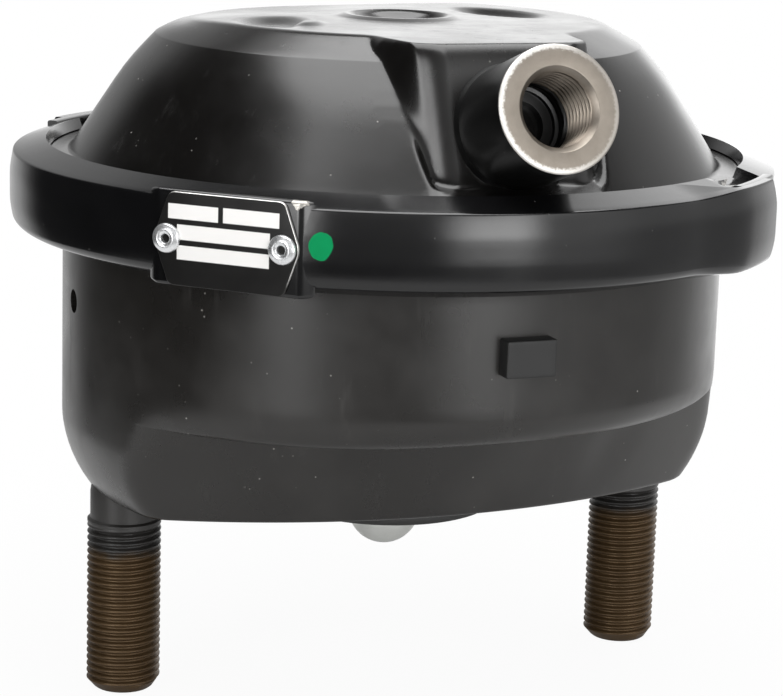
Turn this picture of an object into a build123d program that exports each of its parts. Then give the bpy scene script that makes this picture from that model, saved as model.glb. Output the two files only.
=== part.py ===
from build123d import *
from math import atan2, ceil, cos, hypot, radians, sin, sqrt, tan
import os

# Air brake chamber for a disc brake, with one STEP file for each piece.
# The origin is at the middle of the mounting face. X runs along the two studs,
# +Z points up the axis of the chamber and the air port faces -Y.
# All sizes are in millimetres and all angles in degrees.

# Lower shell, a deep drawn cup on an oblong foot
SHELL_WALL = 3.0
BODY_RADIUS = 71.8
SHOULDER_HEIGHT = 23.0
SHOULDER_RADIUS = 6.5
RIM_BEND_RADIUS = 3.0
FOOT_HALF_WIDTH = 38.8
FOOT_SIDE_RADIUS = 139.0
FOOT_DRAFT = 20.0
FOOT_CURVE_RADIUS = 25.0
FOOT_CURVE_TOP = 15.8
FOOT_CORNER_RADIUS = 9.0
FOOT_EDGE_RADIUS = 1.2
FOOT_STEP = 0.1
VENT_RADIUS = 2.5
VENT_HEIGHT = 42.0

# Clamp joint: both shells end in a sloped rim held by a channel section band
JOINT_HEIGHT = 64.5
RIM_SLOPE = 20.0
RIM_WIDTH = 7.6
RIM_CLEARANCE = 1.2
RIM_RADIUS = BODY_RADIUS + RIM_WIDTH
CLAMP_WALL = 2.5
CLAMP_OUTER_RADIUS = RIM_RADIUS + RIM_CLEARANCE + CLAMP_WALL
CLAMP_LIP_WIDTH = 7.7
CLAMP_LIP_RADIUS = CLAMP_OUTER_RADIUS - CLAMP_LIP_WIDTH
CLAMP_HALF_HEIGHT = 9.8
CLAMP_BEND_RADIUS = 3.5
SEAT_CLEARANCE = 0.05
HALF_TURN = 180.0

# Ends of each half band, as angles about the axis; the outer end laps the inner
LAP_END = -44.0
LAP_START = -57.0
LAP_RAMP = -62.0
LIP_END = -56.0
NEXT_LIP_START = -40.0
LAP_GAP_ANGLE = 1.5
LAP_STEP = 1.1
LAP_HALF_HEIGHT = CLAMP_HALF_HEIGHT - LAP_STEP
LIP_STUB = 0.9

# Flat on the band for the name plate
PLATE_ANGLE = -134.4
PLATE_FLAT_DEPTH = 1.1
PLATE_FLAT = CLAMP_OUTER_RADIUS - PLATE_FLAT_DEPTH
PLATE_PAD_WIDTH = 31.0
PLATE_PAD_HEIGHT = 18.6
PAD_SINK = 0.1
PLATE_WIDTH = 24.6
PLATE_HEIGHT = 18.3
PLATE_THICKNESS = 0.8
PLATE_CORNER = 2.0
PLATE_DROP = 0.4
PLATE_CENTRE = JOINT_HEIGHT - PLATE_DROP
RIVET_SPACING = 24.8
RIVET_HEAD_RADIUS = 2.7
RIVET_HEAD_HEIGHT = 1.2
RIVET_SHANK_RADIUS = 1.6
RIVET_BORE_RADIUS = 1.0
RIVET_BORE_DEPTH = 1.6

# Upper shell: flat top, chamfered shoulder and cone down to the rim
COVER_DEPTH = 36.9
COVER_TOP = JOINT_HEIGHT + COVER_DEPTH
KINK_DROP = 4.4
KINK_HEIGHT = COVER_TOP - KINK_DROP
CONE_DROP = 6.2
CONE_HEIGHT = KINK_HEIGHT - CONE_DROP
CONE_RUN = 21.2
CONE_RADIUS = RIM_RADIUS - CONE_RUN
KINK_RUN = 5.9
KINK_RADIUS = CONE_RADIUS - KINK_RUN
TOP_RUN = 8.3
TOP_RADIUS = KINK_RADIUS - TOP_RUN
CONE_ANGLE = 33.0
TOP_EDGE_RADIUS = 5.0
CONE_EDGE_RADIUS = 8.0
CONE_FOOT_RADIUS = 4.0
DIMPLE_RADIUS = 12.0
DIMPLE_DEPTH = 0.9
SIDE_DIMPLE_OFFSET = 28.5

# Flat pad on the cover and the air port that is welded to it
PORT_TILT = 17.6
PAD_STANDOUT = 4.3
PAD_DEPTH = CONE_RADIUS + PAD_STANDOUT
PAD_DROP = 15.9
PAD_HEIGHT = COVER_TOP - PAD_DROP
PORT_RADIUS = 12.5
PAD_MARGIN = 5.7
PAD_HALF_WIDTH = PORT_RADIUS + PAD_MARGIN
PAD_FLARE = 8.0
PAD_FOOT_GAP = 0.2
PAD_BOTTOM = PAD_HEIGHT - PORT_RADIUS * cos(radians(PORT_TILT)) - PAD_FOOT_GAP
PAD_EDGE_RADIUS = 4.0
PORT_LENGTH = 20.9
PORT_THREAD_RADIUS = 7.19
PORT_THREAD_DEPTH = 15.0
PORT_MOUTH_RADIUS = 8.4
PORT_BORE_RADIUS = 5.0
PORT_SPIGOT_RADIUS = 9.0
PORT_EDGE = 0.5

# Diaphragm
DIAPHRAGM_WALL = 3.0
DIAPHRAGM_GAP = 1.2
DIAPHRAGM_BEND_RISE = 5.6
DIAPHRAGM_BEND_HEIGHT = PAD_BOTTOM + DIAPHRAGM_BEND_RISE
BEAD_WIDTH = 9.8
BEAD_INNER_RADIUS = RIM_RADIUS - BEAD_WIDTH
WEB_WIDTH = 7.6
DIAPHRAGM_FOOT_RADIUS = BEAD_INNER_RADIUS - WEB_WIDTH

# Push rod and push plate
STROKE = 57.0
ROD_RADIUS = 8.0
ROD_REACH = 16.4
ROD_SPIGOT_RADIUS = 6.0
ROD_HEAD_RADIUS = 9.0
ROD_HEAD_THICKNESS = 2.0
PLATE_SEAT_GAP = 0.3
PUSH_PLATE_RADIUS = 39.0
PUSH_PLATE_WALL = 3.0
PUSH_PLATE_RIM = 8.0
PUSH_PLATE_BEND = 5.0
HUB_DEPTH = 2.6
HUB_RADIUS = 10.5
HUB_SLOPE = 3.5
FIT_CLEARANCE = 0.05

# Return spring and the pieces it stands on
BASE_PLATE_WALL = 4.0
BASE_PLATE_CLEARANCE = 0.3
SPRING_WIRE_RADIUS = 2.1
SPRING_BOTTOM_RADIUS = 30.5
SPRING_TOP_RADIUS = 25.5
SPRING_TURNS = 5.5
SPRING_GAP = 0.15
SPRING_SEAT_WALL = 1.5
SPRING_SEAT_LIP = 5.0
SPRING_SEAT_INNER = 24.6

# Seal and bellows round the push rod
SEAL_RADIUS = 25.0
SEAL_BORE_RADIUS = 18.5
SEAL_DEPTH = 5.9
SEAL_EDGE_RADIUS = 1.5
BASE_HOLE_RADIUS = 21.0
SEAL_LIP_RADIUS = 23.6
SEAL_LIP_HEIGHT = 2.2
BELLOWS_WALL = 1.4
BELLOWS_OUTER = 17.6
BELLOWS_INNER = 12.6
BELLOWS_PITCH = 10.0
BELLOWS_FOLDS = 3
BELLOWS_COLLAR = 9.0
BELLOWS_RING_WALL = 1.2
CLIP_WALL = 1.2
CLIP_HEIGHT = 4.0
SOFT_CLEARANCE = 0.3

# Mounting studs, M16
STUD_SPACING = 120.65
STUD_LENGTH = 44.0
STUD_RADIUS = 7.9
STUD_NECK_RADIUS = 7.35
STUD_NECK_LENGTH = 7.0
STUD_TIP_CHAMFER = 1.8
STUD_HEAD_RADIUS = 10.5
STUD_HEAD_THICKNESS = 3.0

# Vent plug
PLUG_WIDTH = 12.3
PLUG_HEIGHT = 8.2
PLUG_STANDOFF = 1.0
PLUG_CORNER = 1.0
PLUG_STEM_LENGTH = 5.0


def offset_path(path, distance):
    """Shift an open (r, z) path to its right by a distance, with mitred corners."""
    normals = []
    for (r0, z0), (r1, z1) in zip(path, path[1:]):
        length = hypot(r1 - r0, z1 - z0)
        normals.append(((z1 - z0) / length, (r0 - r1) / length))
    moved = []
    for index, (r, z) in enumerate(path):
        before = normals[max(index - 1, 0)]
        after = normals[min(index, len(normals) - 1)]
        sum_r = before[0] + after[0]
        sum_z = before[1] + after[1]
        scale = 2 * distance / (sum_r * sum_r + sum_z * sum_z)
        moved.append((r + sum_r * scale, z + sum_z * scale))
    return moved


def bend_radii(path, radii, distance):
    """Bend radii on the shifted side of a path, larger outside a bend than inside."""
    shifted = []
    for index, radius in enumerate(radii):
        (r0, z0), (r1, z1), (r2, z2) = path[index:index + 3]
        turn = (r1 - r0) * (z2 - z1) - (z1 - z0) * (r2 - r1)
        change = distance if turn > 0 else -distance
        shifted.append(max(radius + change, 0.3))
    return shifted


def turned(face_lines):
    """Solid of revolution about Z from lines that close in the (r, z) plane."""
    return revolve(Plane.XZ * make_face(face_lines), axis=Axis.Z)


def strip(path, radii, wall):
    """Sheet of even thickness turned about Z; the path is its outer side."""
    inner = offset_path(path, wall)
    inner_radii = bend_radii(path, radii, wall)
    lines = FilletPolyline(*path, radius=radii) + FilletPolyline(*inner, radius=inner_radii)
    lines += Line(path[0], inner[0]) + Line(path[-1], inner[-1])
    return turned(lines)


def filled(path, radii, far_z):
    """Solid between a turned path that starts on the axis and a flat level."""
    lines = FilletPolyline(*path, radius=radii)
    lines += Polyline(path[-1], (path[-1][0], far_z), (path[0][0], far_z), path[0])
    return turned(lines)


def extended(path, length):
    """Path with its last leg made longer."""
    (r0, z0), (r1, z1) = path[-2:]
    scale = length / hypot(r1 - r0, z1 - z0)
    return path[:-1] + [(r1 + (r1 - r0) * scale, z1 + (z1 - z0) * scale)]


def rim_rise(radius):
    """Half height of the clamp joint, measured to the outside of the shell rims."""
    lip_inner = CLAMP_HALF_HEIGHT - CLAMP_WALL / cos(radians(RIM_SLOPE))
    return lip_inner - SEAT_CLEARANCE - (radius - CLAMP_LIP_RADIUS) * tan(radians(RIM_SLOPE))


# Lower shell

def body_path():
    """Outer side of the cup, from the axis out to the rim."""
    return [
        (0, SHOULDER_HEIGHT),
        (BODY_RADIUS, SHOULDER_HEIGHT),
        (BODY_RADIUS, JOINT_HEIGHT - rim_rise(BODY_RADIUS)),
        (RIM_RADIUS, JOINT_HEIGHT - rim_rise(RIM_RADIUS)),
    ]


def body_radii():
    return [SHOULDER_RADIUS, RIM_BEND_RADIUS]


def foot_side(half_width, side_radius, level):
    """Oblong outline with two long curved sides, at one level."""
    reach = 1.1 * BODY_RADIUS
    drop = side_radius - sqrt(side_radius ** 2 - reach ** 2)
    end = half_width - drop
    outline = ThreePointArc((-reach, end), (0, half_width), (reach, end))
    outline += Line((reach, end), (reach, -end))
    outline += ThreePointArc((reach, -end), (0, -half_width), (-reach, -end))
    outline += Line((-reach, -end), (-reach, end))
    return Pos(0, 0, level) * make_face(outline)


def foot_block(inset):
    """The foot shrunk by a wall: a barrel with rounded foot, cut by two drafted sides."""
    top = SHOULDER_HEIGHT + SHOULDER_RADIUS
    centre = BODY_RADIUS - FOOT_STEP - FOOT_CURVE_RADIUS
    curve = FOOT_CURVE_RADIUS - inset
    drop = FOOT_CURVE_TOP - inset
    foot_radius = centre + sqrt(curve ** 2 - drop ** 2)
    half_turn = atan2(drop, foot_radius - centre) / 2
    side = BODY_RADIUS - FOOT_STEP - inset
    middle = (centre + curve * cos(half_turn), FOOT_CURVE_TOP - curve * sin(half_turn))
    lines = Line((0, inset), (foot_radius, inset))
    lines += ThreePointArc((foot_radius, inset), middle, (side, FOOT_CURVE_TOP))
    lines += Polyline((side, FOOT_CURVE_TOP), (side, top), (0, top), (0, inset))
    barrel = turned(lines)
    draft = tan(radians(FOOT_DRAFT))
    width = FOOT_HALF_WIDTH + inset * draft - inset / cos(radians(FOOT_DRAFT))
    low = foot_side(width, FOOT_SIDE_RADIUS - inset, inset)
    high = foot_side(width + (top - inset) * draft, FOOT_SIDE_RADIUS - inset, top)
    block = barrel & loft([low, high], ruled=True)
    corners = block.edges().filter_by(lambda e: e.bounding_box().size.Z > 1)
    block = fillet(corners, max(FOOT_CORNER_RADIUS - inset, 1.0))
    if inset == 0:
        block = fillet(block.faces().sort_by(Axis.Z)[0].edges(), FOOT_EDGE_RADIUS)
    return block


def housing():
    """Drawn lower shell with its foot, rod opening and vents."""
    path = body_path()
    wall = -SHELL_WALL
    inner = extended(offset_path(path, wall), SHELL_WALL)
    outside = filled(path, body_radii(), JOINT_HEIGHT) + foot_block(0)
    inside = filled(inner, bend_radii(path, body_radii(), wall), COVER_TOP)
    shell = outside - (inside + foot_block(SHELL_WALL))
    shell -= Cylinder(SEAL_RADIUS + FIT_CLEARANCE, 4 * SHELL_WALL)
    shell -= stud_holes()
    for side in (0, 90):
        shell -= Rot(0, 0, side) * Pos(0, 0, VENT_HEIGHT) * Rot(0, 90, 0) * Cylinder(
            VENT_RADIUS, 3 * BODY_RADIUS)
    return shell


def stud_holes():
    """Both stud holes, up to the top of the stiffening plate."""
    depth = 4 * SHELL_WALL
    hole = Pos(0, 0, spring_floor() - depth) * Cylinder(
        STUD_NECK_RADIUS + FIT_CLEARANCE, depth, align=align_low())
    return [Pos(side * STUD_SPACING / 2, 0, 0) * hole for side in (-1, 1)]


def vent_plugs():
    """Two push-in vent plugs, front and back."""
    front = BODY_RADIUS + PLUG_STANDOFF
    depth = front - BODY_RADIUS + SHELL_WALL
    slab = Pos(0, -front, VENT_HEIGHT) * Rot(90, 0, 0) * extrude(
        RectangleRounded(PLUG_WIDTH, PLUG_HEIGHT, PLUG_CORNER), -depth)
    head = slab - Cylinder(BODY_RADIUS, 4 * BODY_RADIUS)
    stem_end = BODY_RADIUS + PLUG_STANDOFF / 2 - PLUG_STEM_LENGTH
    stem = Pos(0, -stem_end, VENT_HEIGHT) * Rot(90, 0, 0) * Cylinder(
        VENT_RADIUS - FIT_CLEARANCE, PLUG_STEM_LENGTH,
        align=(Align.CENTER, Align.CENTER, Align.MIN))
    plug = head + stem
    return [plug, Rot(0, 0, 180) * plug]


# Upper shell

def cover_path():
    """Outer side of the cover, from the axis out to the rim."""
    slope = tan(radians(CONE_ANGLE))
    rim = tan(radians(RIM_SLOPE))
    rim_at_lip = JOINT_HEIGHT + rim_rise(CLAMP_LIP_RADIUS)
    cone_reach = CONE_RADIUS + slope * (CONE_HEIGHT - rim_at_lip - rim * CLAMP_LIP_RADIUS)
    foot = cone_reach / (1 - slope * rim)
    return [
        (0, COVER_TOP),
        (TOP_RADIUS, COVER_TOP),
        (KINK_RADIUS, KINK_HEIGHT),
        (CONE_RADIUS, CONE_HEIGHT),
        (foot, rim_at_lip - (foot - CLAMP_LIP_RADIUS) * rim),
        (RIM_RADIUS, JOINT_HEIGHT + rim_rise(RIM_RADIUS)),
    ]


def cover_radii():
    return [TOP_EDGE_RADIUS, 0.6, CONE_EDGE_RADIUS, CONE_FOOT_RADIUS]


def port_plane(distance=0):
    """Plane of the port pad, moved out along the port axis."""
    tilt = radians(PORT_TILT)
    normal = Vector(0, -cos(tilt), sin(tilt))
    start = Vector(0, -PAD_DEPTH, PAD_HEIGHT)
    return Plane(origin=start + normal * distance, x_dir=(1, 0, 0), z_dir=normal)


def pad_outline(half_width):
    """Plan of the pad, a little wider towards the axis."""
    flare = tan(radians(PAD_FLARE))
    near = half_width + flare * PAD_DEPTH / 2
    far = half_width - flare * PAD_DEPTH / 4
    return make_face(Polyline(
        (-near, -PAD_DEPTH / 2), (near, -PAD_DEPTH / 2),
        (far, -PAD_DEPTH * 1.25), (-far, -PAD_DEPTH * 1.25), close=True))


def pad_block(inset):
    """Block of the pad where it stands out of the cone, shrunk by a wall."""
    height = COVER_TOP - PAD_BOTTOM - inset
    block = Pos(0, 0, PAD_BOTTOM) * extrude(pad_outline(PAD_HALF_WIDTH - inset), height)
    beyond = port_plane(-inset) * Box(
        4 * PAD_DEPTH, 4 * PAD_DEPTH, PAD_DEPTH, align=(Align.CENTER, Align.CENTER, Align.MIN))
    block -= beyond
    front = block.faces().sort_by(Axis.Y)[0]
    tops = block.faces().sort_by(Axis.Z)[-1].edges().filter_by(
        lambda e: e.bounding_box().size.Y > PAD_EDGE_RADIUS)
    edges = front.edges().filter_by(lambda e: e.center().Z > PAD_BOTTOM + 1) + tops
    return fillet(edges, PAD_EDGE_RADIUS - inset / 2)


def pad_recess(inset):
    """What the pad takes off the cone, so that the port has a flat seat."""
    low = PAD_BOTTOM - inset / 2
    outline = pad_outline(PAD_HALF_WIDTH + inset)
    block = Pos(0, 0, low) * extrude(outline, COVER_TOP - low)
    behind = port_plane(-inset) * Box(
        4 * PAD_DEPTH, 4 * PAD_DEPTH, PAD_DEPTH, align=(Align.CENTER, Align.CENTER, Align.MAX))
    return block - behind


def top_dimple(x, y, radius, depth):
    """Shallow dish pressed into the top of the cover."""
    sphere_radius = (radius ** 2 + depth ** 2) / (2 * depth)
    return Pos(x, y, COVER_TOP + sphere_radius - depth) * Sphere(sphere_radius)


def pressure_housing():
    """Upper shell with the port pad and the port hole."""
    path = cover_path()
    inner = extended(offset_path(path, SHELL_WALL), SHELL_WALL)
    outside = filled(path, cover_radii(), JOINT_HEIGHT)
    outside = outside - pad_recess(0) + pad_block(0)
    inside = filled(inner, bend_radii(path, cover_radii(), SHELL_WALL), 0)
    inside = inside - pad_recess(SHELL_WALL) + pad_block(SHELL_WALL)
    shell = outside - inside
    shell -= port_plane() * Cylinder(PORT_SPIGOT_RADIUS + FIT_CLEARANCE, 6 * SHELL_WALL)
    shell -= top_dimple(0, 0, DIMPLE_RADIUS, DIMPLE_DEPTH)
    for side in (-1, 1):
        shell -= top_dimple(side * SIDE_DIMPLE_OFFSET, 0, DIMPLE_RADIUS * 0.8, DIMPLE_DEPTH)
    return shell


def port_boss():
    """Welded port with a threaded air inlet."""
    flat = align_low()
    boss = port_plane() * Cylinder(PORT_RADIUS, PORT_LENGTH, align=flat)
    boss = chamfer(boss.faces().sort_by(Axis.Y)[0].edges(), PORT_EDGE)
    boss += port_plane(-SHELL_WALL) * Cylinder(PORT_SPIGOT_RADIUS, SHELL_WALL, align=flat)
    reach = PORT_LENGTH - PORT_THREAD_DEPTH
    boss -= port_plane(reach) * Cylinder(PORT_THREAD_RADIUS, 2 * PORT_LENGTH, align=flat)
    boss -= port_plane() * Cylinder(PORT_BORE_RADIUS, 4 * PORT_LENGTH)
    mouth = PORT_MOUTH_RADIUS - PORT_THREAD_RADIUS
    boss -= port_plane(PORT_LENGTH - mouth) * Cone(
        PORT_THREAD_RADIUS, PORT_MOUTH_RADIUS, mouth, align=flat)
    return boss


def align_low():
    """Alignment of a turned solid that stands on its plane."""
    return (Align.CENTER, Align.CENTER, Align.MIN)


# Clamp band

def arc_sector(face, start, end):
    """Turn an (r, z) face about Z between two angles."""
    return Rot(0, 0, start) * revolve(Plane.XZ * face, axis=Axis.Z, revolution_arc=end - start)


def channel_face():
    """Channel section of the band: an outer wall between two sloped lips."""
    slope = tan(radians(RIM_SLOPE))
    rise = CLAMP_HALF_HEIGHT - (CLAMP_OUTER_RADIUS - CLAMP_LIP_RADIUS) * slope
    path = [
        (CLAMP_LIP_RADIUS, JOINT_HEIGHT + CLAMP_HALF_HEIGHT),
        (CLAMP_OUTER_RADIUS, JOINT_HEIGHT + rise),
        (CLAMP_OUTER_RADIUS, JOINT_HEIGHT - rise),
        (CLAMP_LIP_RADIUS, JOINT_HEIGHT - CLAMP_HALF_HEIGHT),
    ]
    inner = offset_path(path, CLAMP_WALL)
    radii = [CLAMP_BEND_RADIUS, CLAMP_BEND_RADIUS]
    lines = FilletPolyline(*path, radius=radii)
    lines += FilletPolyline(*inner, radius=bend_radii(path, radii, CLAMP_WALL))
    lines += Line(path[0], inner[0]) + Line(path[-1], inner[-1])
    return make_face(lines)


def polar(radius, angle):
    return (radius * cos(radians(angle)), radius * sin(radians(angle)))


def band_plan(radius, start, end):
    """Plan of a plain stretch of band wall on one radius."""
    middle = (start + end) / 2
    inner = radius - CLAMP_WALL
    outline = ThreePointArc(polar(radius, start), polar(radius, middle), polar(radius, end))
    outline += ThreePointArc(polar(inner, start), polar(inner, middle), polar(inner, end))
    outline += Line(polar(radius, start), polar(inner, start))
    outline += Line(polar(radius, end), polar(inner, end))
    return make_face(outline)


def ramp_plan(start, end):
    """Plan of the joggle that carries the band wall out by its own thickness."""
    near = CLAMP_OUTER_RADIUS
    far = CLAMP_OUTER_RADIUS + CLAMP_WALL
    outline = Spline(
        polar(near, start), polar(far, end),
        tangents=[polar(1, start + 90), polar(1, end + 90)])
    outline += Spline(
        polar(near - CLAMP_WALL, start), polar(far - CLAMP_WALL, end),
        tangents=[polar(1, start + 90), polar(1, end + 90)])
    outline += Line(polar(near, start), polar(near - CLAMP_WALL, start))
    outline += Line(polar(far, end), polar(far - CLAMP_WALL, end))
    return make_face(outline)


def clamp_half():
    """Half of the clamp band: channel, joggled outer end and plain inner end."""
    inner_lip = NEXT_LIP_START - HALF_TURN
    band = arc_sector(channel_face(), inner_lip, LIP_END)
    torn = CLAMP_OUTER_RADIUS - LIP_STUB
    gap = make_face(Polyline(
        (torn, 0), (2 * torn, 0), (2 * torn, 2 * JOINT_HEIGHT), (torn, 2 * JOINT_HEIGHT),
        close=True))
    band -= arc_sector(gap, LAP_RAMP, 0)
    ramp_height = CLAMP_HALF_HEIGHT - CLAMP_WALL
    band += Pos(0, 0, JOINT_HEIGHT - ramp_height) * extrude(
        ramp_plan(LAP_RAMP, LAP_START), 2 * ramp_height)
    low = JOINT_HEIGHT - LAP_HALF_HEIGHT
    outer_end = band_plan(CLAMP_OUTER_RADIUS + CLAMP_WALL, LAP_START, LAP_END)
    inner_end = band_plan(CLAMP_OUTER_RADIUS, LAP_START + LAP_GAP_ANGLE - HALF_TURN, inner_lip)
    for plan in (outer_end, inner_end):
        band += Pos(0, 0, low) * extrude(plan, 2 * LAP_HALF_HEIGHT)
    return band


def plate_frame(distance):
    """Local plane on the clamp flat: x along the band, y up, z outwards."""
    x, y = polar(PLATE_FLAT + distance, PLATE_ANGLE)
    out = polar(1, PLATE_ANGLE)
    return Plane(origin=(x, y, PLATE_CENTRE), x_dir=(-out[1], out[0], 0), z_dir=(out[0], out[1], 0))


def plate_outline(margin):
    """Rounded plate that widens into an ear round each rivet."""
    body = RectangleRounded(PLATE_WIDTH + 2 * margin, PLATE_HEIGHT + 2 * margin, PLATE_CORNER)
    edges = body.edges()
    for side in (-1, 1):
        edges += (Pos(side * RIVET_SPACING / 2, 0) * Circle(RIVET_HEAD_RADIUS + 0.8 + margin)).edges()
    return make_hull(edges)


def rivet_points():
    return [(side * RIVET_SPACING / 2, 0) for side in (-1, 1)]


def clamp_front():
    """Front half band, pressed flat where the name plate is riveted on."""
    pad = RectangleRounded(PLATE_PAD_WIDTH, PLATE_PAD_HEIGHT, PLATE_CORNER)
    band = clamp_half() + plate_frame(PAD_SINK - CLAMP_WALL) * extrude(pad, CLAMP_WALL + 1)
    band -= plate_frame(0) * Box(
        4 * PLATE_WIDTH, 4 * PLATE_HEIGHT, PLATE_WIDTH, align=align_low())
    for point in rivet_points():
        band -= plate_frame(0) * Pos(*point) * Cylinder(
            RIVET_SHANK_RADIUS + FIT_CLEARANCE, 4 * CLAMP_WALL)
    return band


def clamp_rear():
    """Rear half band, the same pressing turned half round."""
    return Rot(0, 0, HALF_TURN) * clamp_half()


def name_plate():
    """Thin riveted plate, left blank."""
    plate = extrude(plate_outline(0), PLATE_THICKNESS)
    for point in rivet_points():
        plate -= Pos(*point) * Cylinder(RIVET_SHANK_RADIUS + FIT_CLEARANCE, 4 * PLATE_THICKNESS)
    return plate_frame(0) * plate


def plate_rivets():
    """Two hollow domed rivets."""
    cap_radius = (RIVET_HEAD_RADIUS ** 2 + RIVET_HEAD_HEIGHT ** 2) / (2 * RIVET_HEAD_HEIGHT)
    dome = Pos(0, 0, RIVET_HEAD_HEIGHT - cap_radius) * Sphere(cap_radius)
    dome &= Cylinder(RIVET_HEAD_RADIUS, RIVET_HEAD_HEIGHT, align=align_low())
    grip = PLATE_THICKNESS + CLAMP_WALL - PAD_SINK
    rivet = dome + Pos(0, 0, -grip) * Cylinder(RIVET_SHANK_RADIUS, grip, align=align_low())
    rivet -= Pos(0, 0, RIVET_HEAD_HEIGHT - RIVET_BORE_DEPTH) * Cylinder(
        RIVET_BORE_RADIUS, RIVET_BORE_DEPTH, align=align_low())
    return [plate_frame(PLATE_THICKNESS) * Pos(*point) * rivet for point in rivet_points()]


# Working parts

def diaphragm():
    """Moulded rubber diaphragm with a wedge bead held between the rims."""
    path = offset_path(cover_path(), SHELL_WALL + DIAPHRAGM_GAP)[:4]
    last_r, last_z = path[-1]
    slope = tan(radians(CONE_ANGLE))
    web = JOINT_HEIGHT + DIAPHRAGM_WALL / 2
    path.append((last_r + slope * (last_z - DIAPHRAGM_BEND_HEIGHT), DIAPHRAGM_BEND_HEIGHT))
    path.append((DIAPHRAGM_FOOT_RADIUS, web))
    path.append((BEAD_INNER_RADIUS + DIAPHRAGM_WALL / 2, web))
    skin = strip(path, cover_radii()[:3] + [DIAPHRAGM_WALL, 1.5], DIAPHRAGM_WALL)
    wall = SHELL_WALL / cos(radians(RIM_SLOPE)) + SEAT_CLEARANCE
    inner = rim_rise(BEAD_INNER_RADIUS) - wall
    outer = rim_rise(RIM_RADIUS) - wall
    bead = turned(Polyline(
        (BEAD_INNER_RADIUS, JOINT_HEIGHT - inner), (RIM_RADIUS, JOINT_HEIGHT - outer),
        (RIM_RADIUS, JOINT_HEIGHT + outer), (BEAD_INNER_RADIUS, JOINT_HEIGHT + inner), close=True))
    return skin + bead


def push_plate_top():
    """Height of the top of the push plate, just below the diaphragm."""
    return COVER_TOP - SHELL_WALL - DIAPHRAGM_GAP - DIAPHRAGM_WALL - PLATE_SEAT_GAP


def push_plate():
    """Pressed plate with a turned down rim and a sunk hub."""
    top = push_plate_top()
    path = [
        (ROD_SPIGOT_RADIUS + FIT_CLEARANCE, top - HUB_DEPTH),
        (HUB_RADIUS, top - HUB_DEPTH),
        (HUB_RADIUS + HUB_SLOPE, top),
        (PUSH_PLATE_RADIUS, top),
        (PUSH_PLATE_RADIUS, top - PUSH_PLATE_RIM),
    ]
    return strip(path, [1.0, 1.0, PUSH_PLATE_BEND], PUSH_PLATE_WALL)


def push_rod():
    """Rod with a round end below and a riveted spigot above."""
    seat = push_plate_top() - HUB_DEPTH - PUSH_PLATE_WALL
    head = seat + PUSH_PLATE_WALL
    centre = ROD_RADIUS - ROD_REACH
    tip = (ROD_RADIUS * cos(radians(45)), centre - ROD_RADIUS * sin(radians(45)))
    lines = ThreePointArc((0, -ROD_REACH), tip, (ROD_RADIUS, centre))
    lines += Polyline(
        (ROD_RADIUS, centre), (ROD_RADIUS, seat), (ROD_SPIGOT_RADIUS, seat),
        (ROD_SPIGOT_RADIUS, head), (ROD_HEAD_RADIUS, head),
        (ROD_SPIGOT_RADIUS, head + ROD_HEAD_THICKNESS), (0, head + ROD_HEAD_THICKNESS),
        (0, -ROD_REACH))
    return turned(lines)


def base_plate():
    """Stiffening plate on the floor of the foot."""
    floor = SHELL_WALL
    block = Pos(0, 0, -BASE_PLATE_CLEARANCE) * foot_block(SHELL_WALL + BASE_PLATE_CLEARANCE)
    slab = Pos(0, 0, floor) * Box(
        4 * BODY_RADIUS, 4 * BODY_RADIUS, BASE_PLATE_WALL, align=align_low())
    plate = (block & slab) - Cylinder(BASE_HOLE_RADIUS, 8 * BASE_PLATE_WALL)
    return plate - stud_holes()


def spring_floor():
    """Height of the face that the spring seat lies on."""
    return SHELL_WALL + BASE_PLATE_WALL


def spring_seat():
    """Pressed ring that centres the foot of the spring."""
    floor = spring_floor()
    outer = SPRING_BOTTOM_RADIUS + SPRING_WIRE_RADIUS + SPRING_SEAT_WALL
    path = [
        (SPRING_SEAT_INNER, floor + SPRING_SEAT_LIP),
        (SPRING_SEAT_INNER, floor),
        (outer, floor),
    ]
    return strip(path, [SPRING_SEAT_WALL], -SPRING_SEAT_WALL)


def return_spring():
    """Conical coil spring, widest at the foot."""
    foot = spring_floor() + SPRING_SEAT_WALL + SPRING_WIRE_RADIUS + SPRING_GAP
    top = push_plate_top() - PUSH_PLATE_WALL - SPRING_WIRE_RADIUS - SPRING_GAP
    height = top - foot
    lean = atan2(SPRING_BOTTOM_RADIUS - SPRING_TOP_RADIUS, height)
    pitch = height / SPRING_TURNS
    coil = Helix(pitch, height, SPRING_BOTTOM_RADIUS, cone_angle=-lean * 180 / 3.141592653589793)
    wire = Plane(origin=coil @ 0, z_dir=coil % 0) * Circle(SPRING_WIRE_RADIUS)
    return Pos(0, 0, foot) * sweep(wire, coil)


def flange_seal():
    """Rubber ring buttoned into the foot; it seals on the brake caliper."""
    top = spring_floor()
    neck = BASE_HOLE_RADIUS - SEAT_CLEARANCE
    lip = top + SEAL_LIP_HEIGHT
    lines = FilletPolyline(
        (SEAL_BORE_RADIUS, -SEAL_DEPTH), (SEAL_RADIUS, -SEAL_DEPTH), (SEAL_RADIUS, SHELL_WALL),
        radius=[SEAL_EDGE_RADIUS])
    lines += Polyline(
        (SEAL_RADIUS, SHELL_WALL), (neck, SHELL_WALL), (neck, top), (SEAL_LIP_RADIUS, top),
        (SEAL_LIP_RADIUS - 0.6, lip), (SEAL_BORE_RADIUS, lip), (SEAL_BORE_RADIUS, -SEAL_DEPTH))
    return turned(lines)


def bellows_foot():
    """Outer radius of the bellows bead inside the seal."""
    return SEAL_BORE_RADIUS - SEAT_CLEARANCE


def bellows_top():
    """Height where the folds end and the collar on the rod begins."""
    return spring_floor() + SEAL_LIP_HEIGHT + BELLOWS_FOLDS * BELLOWS_PITCH


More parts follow.
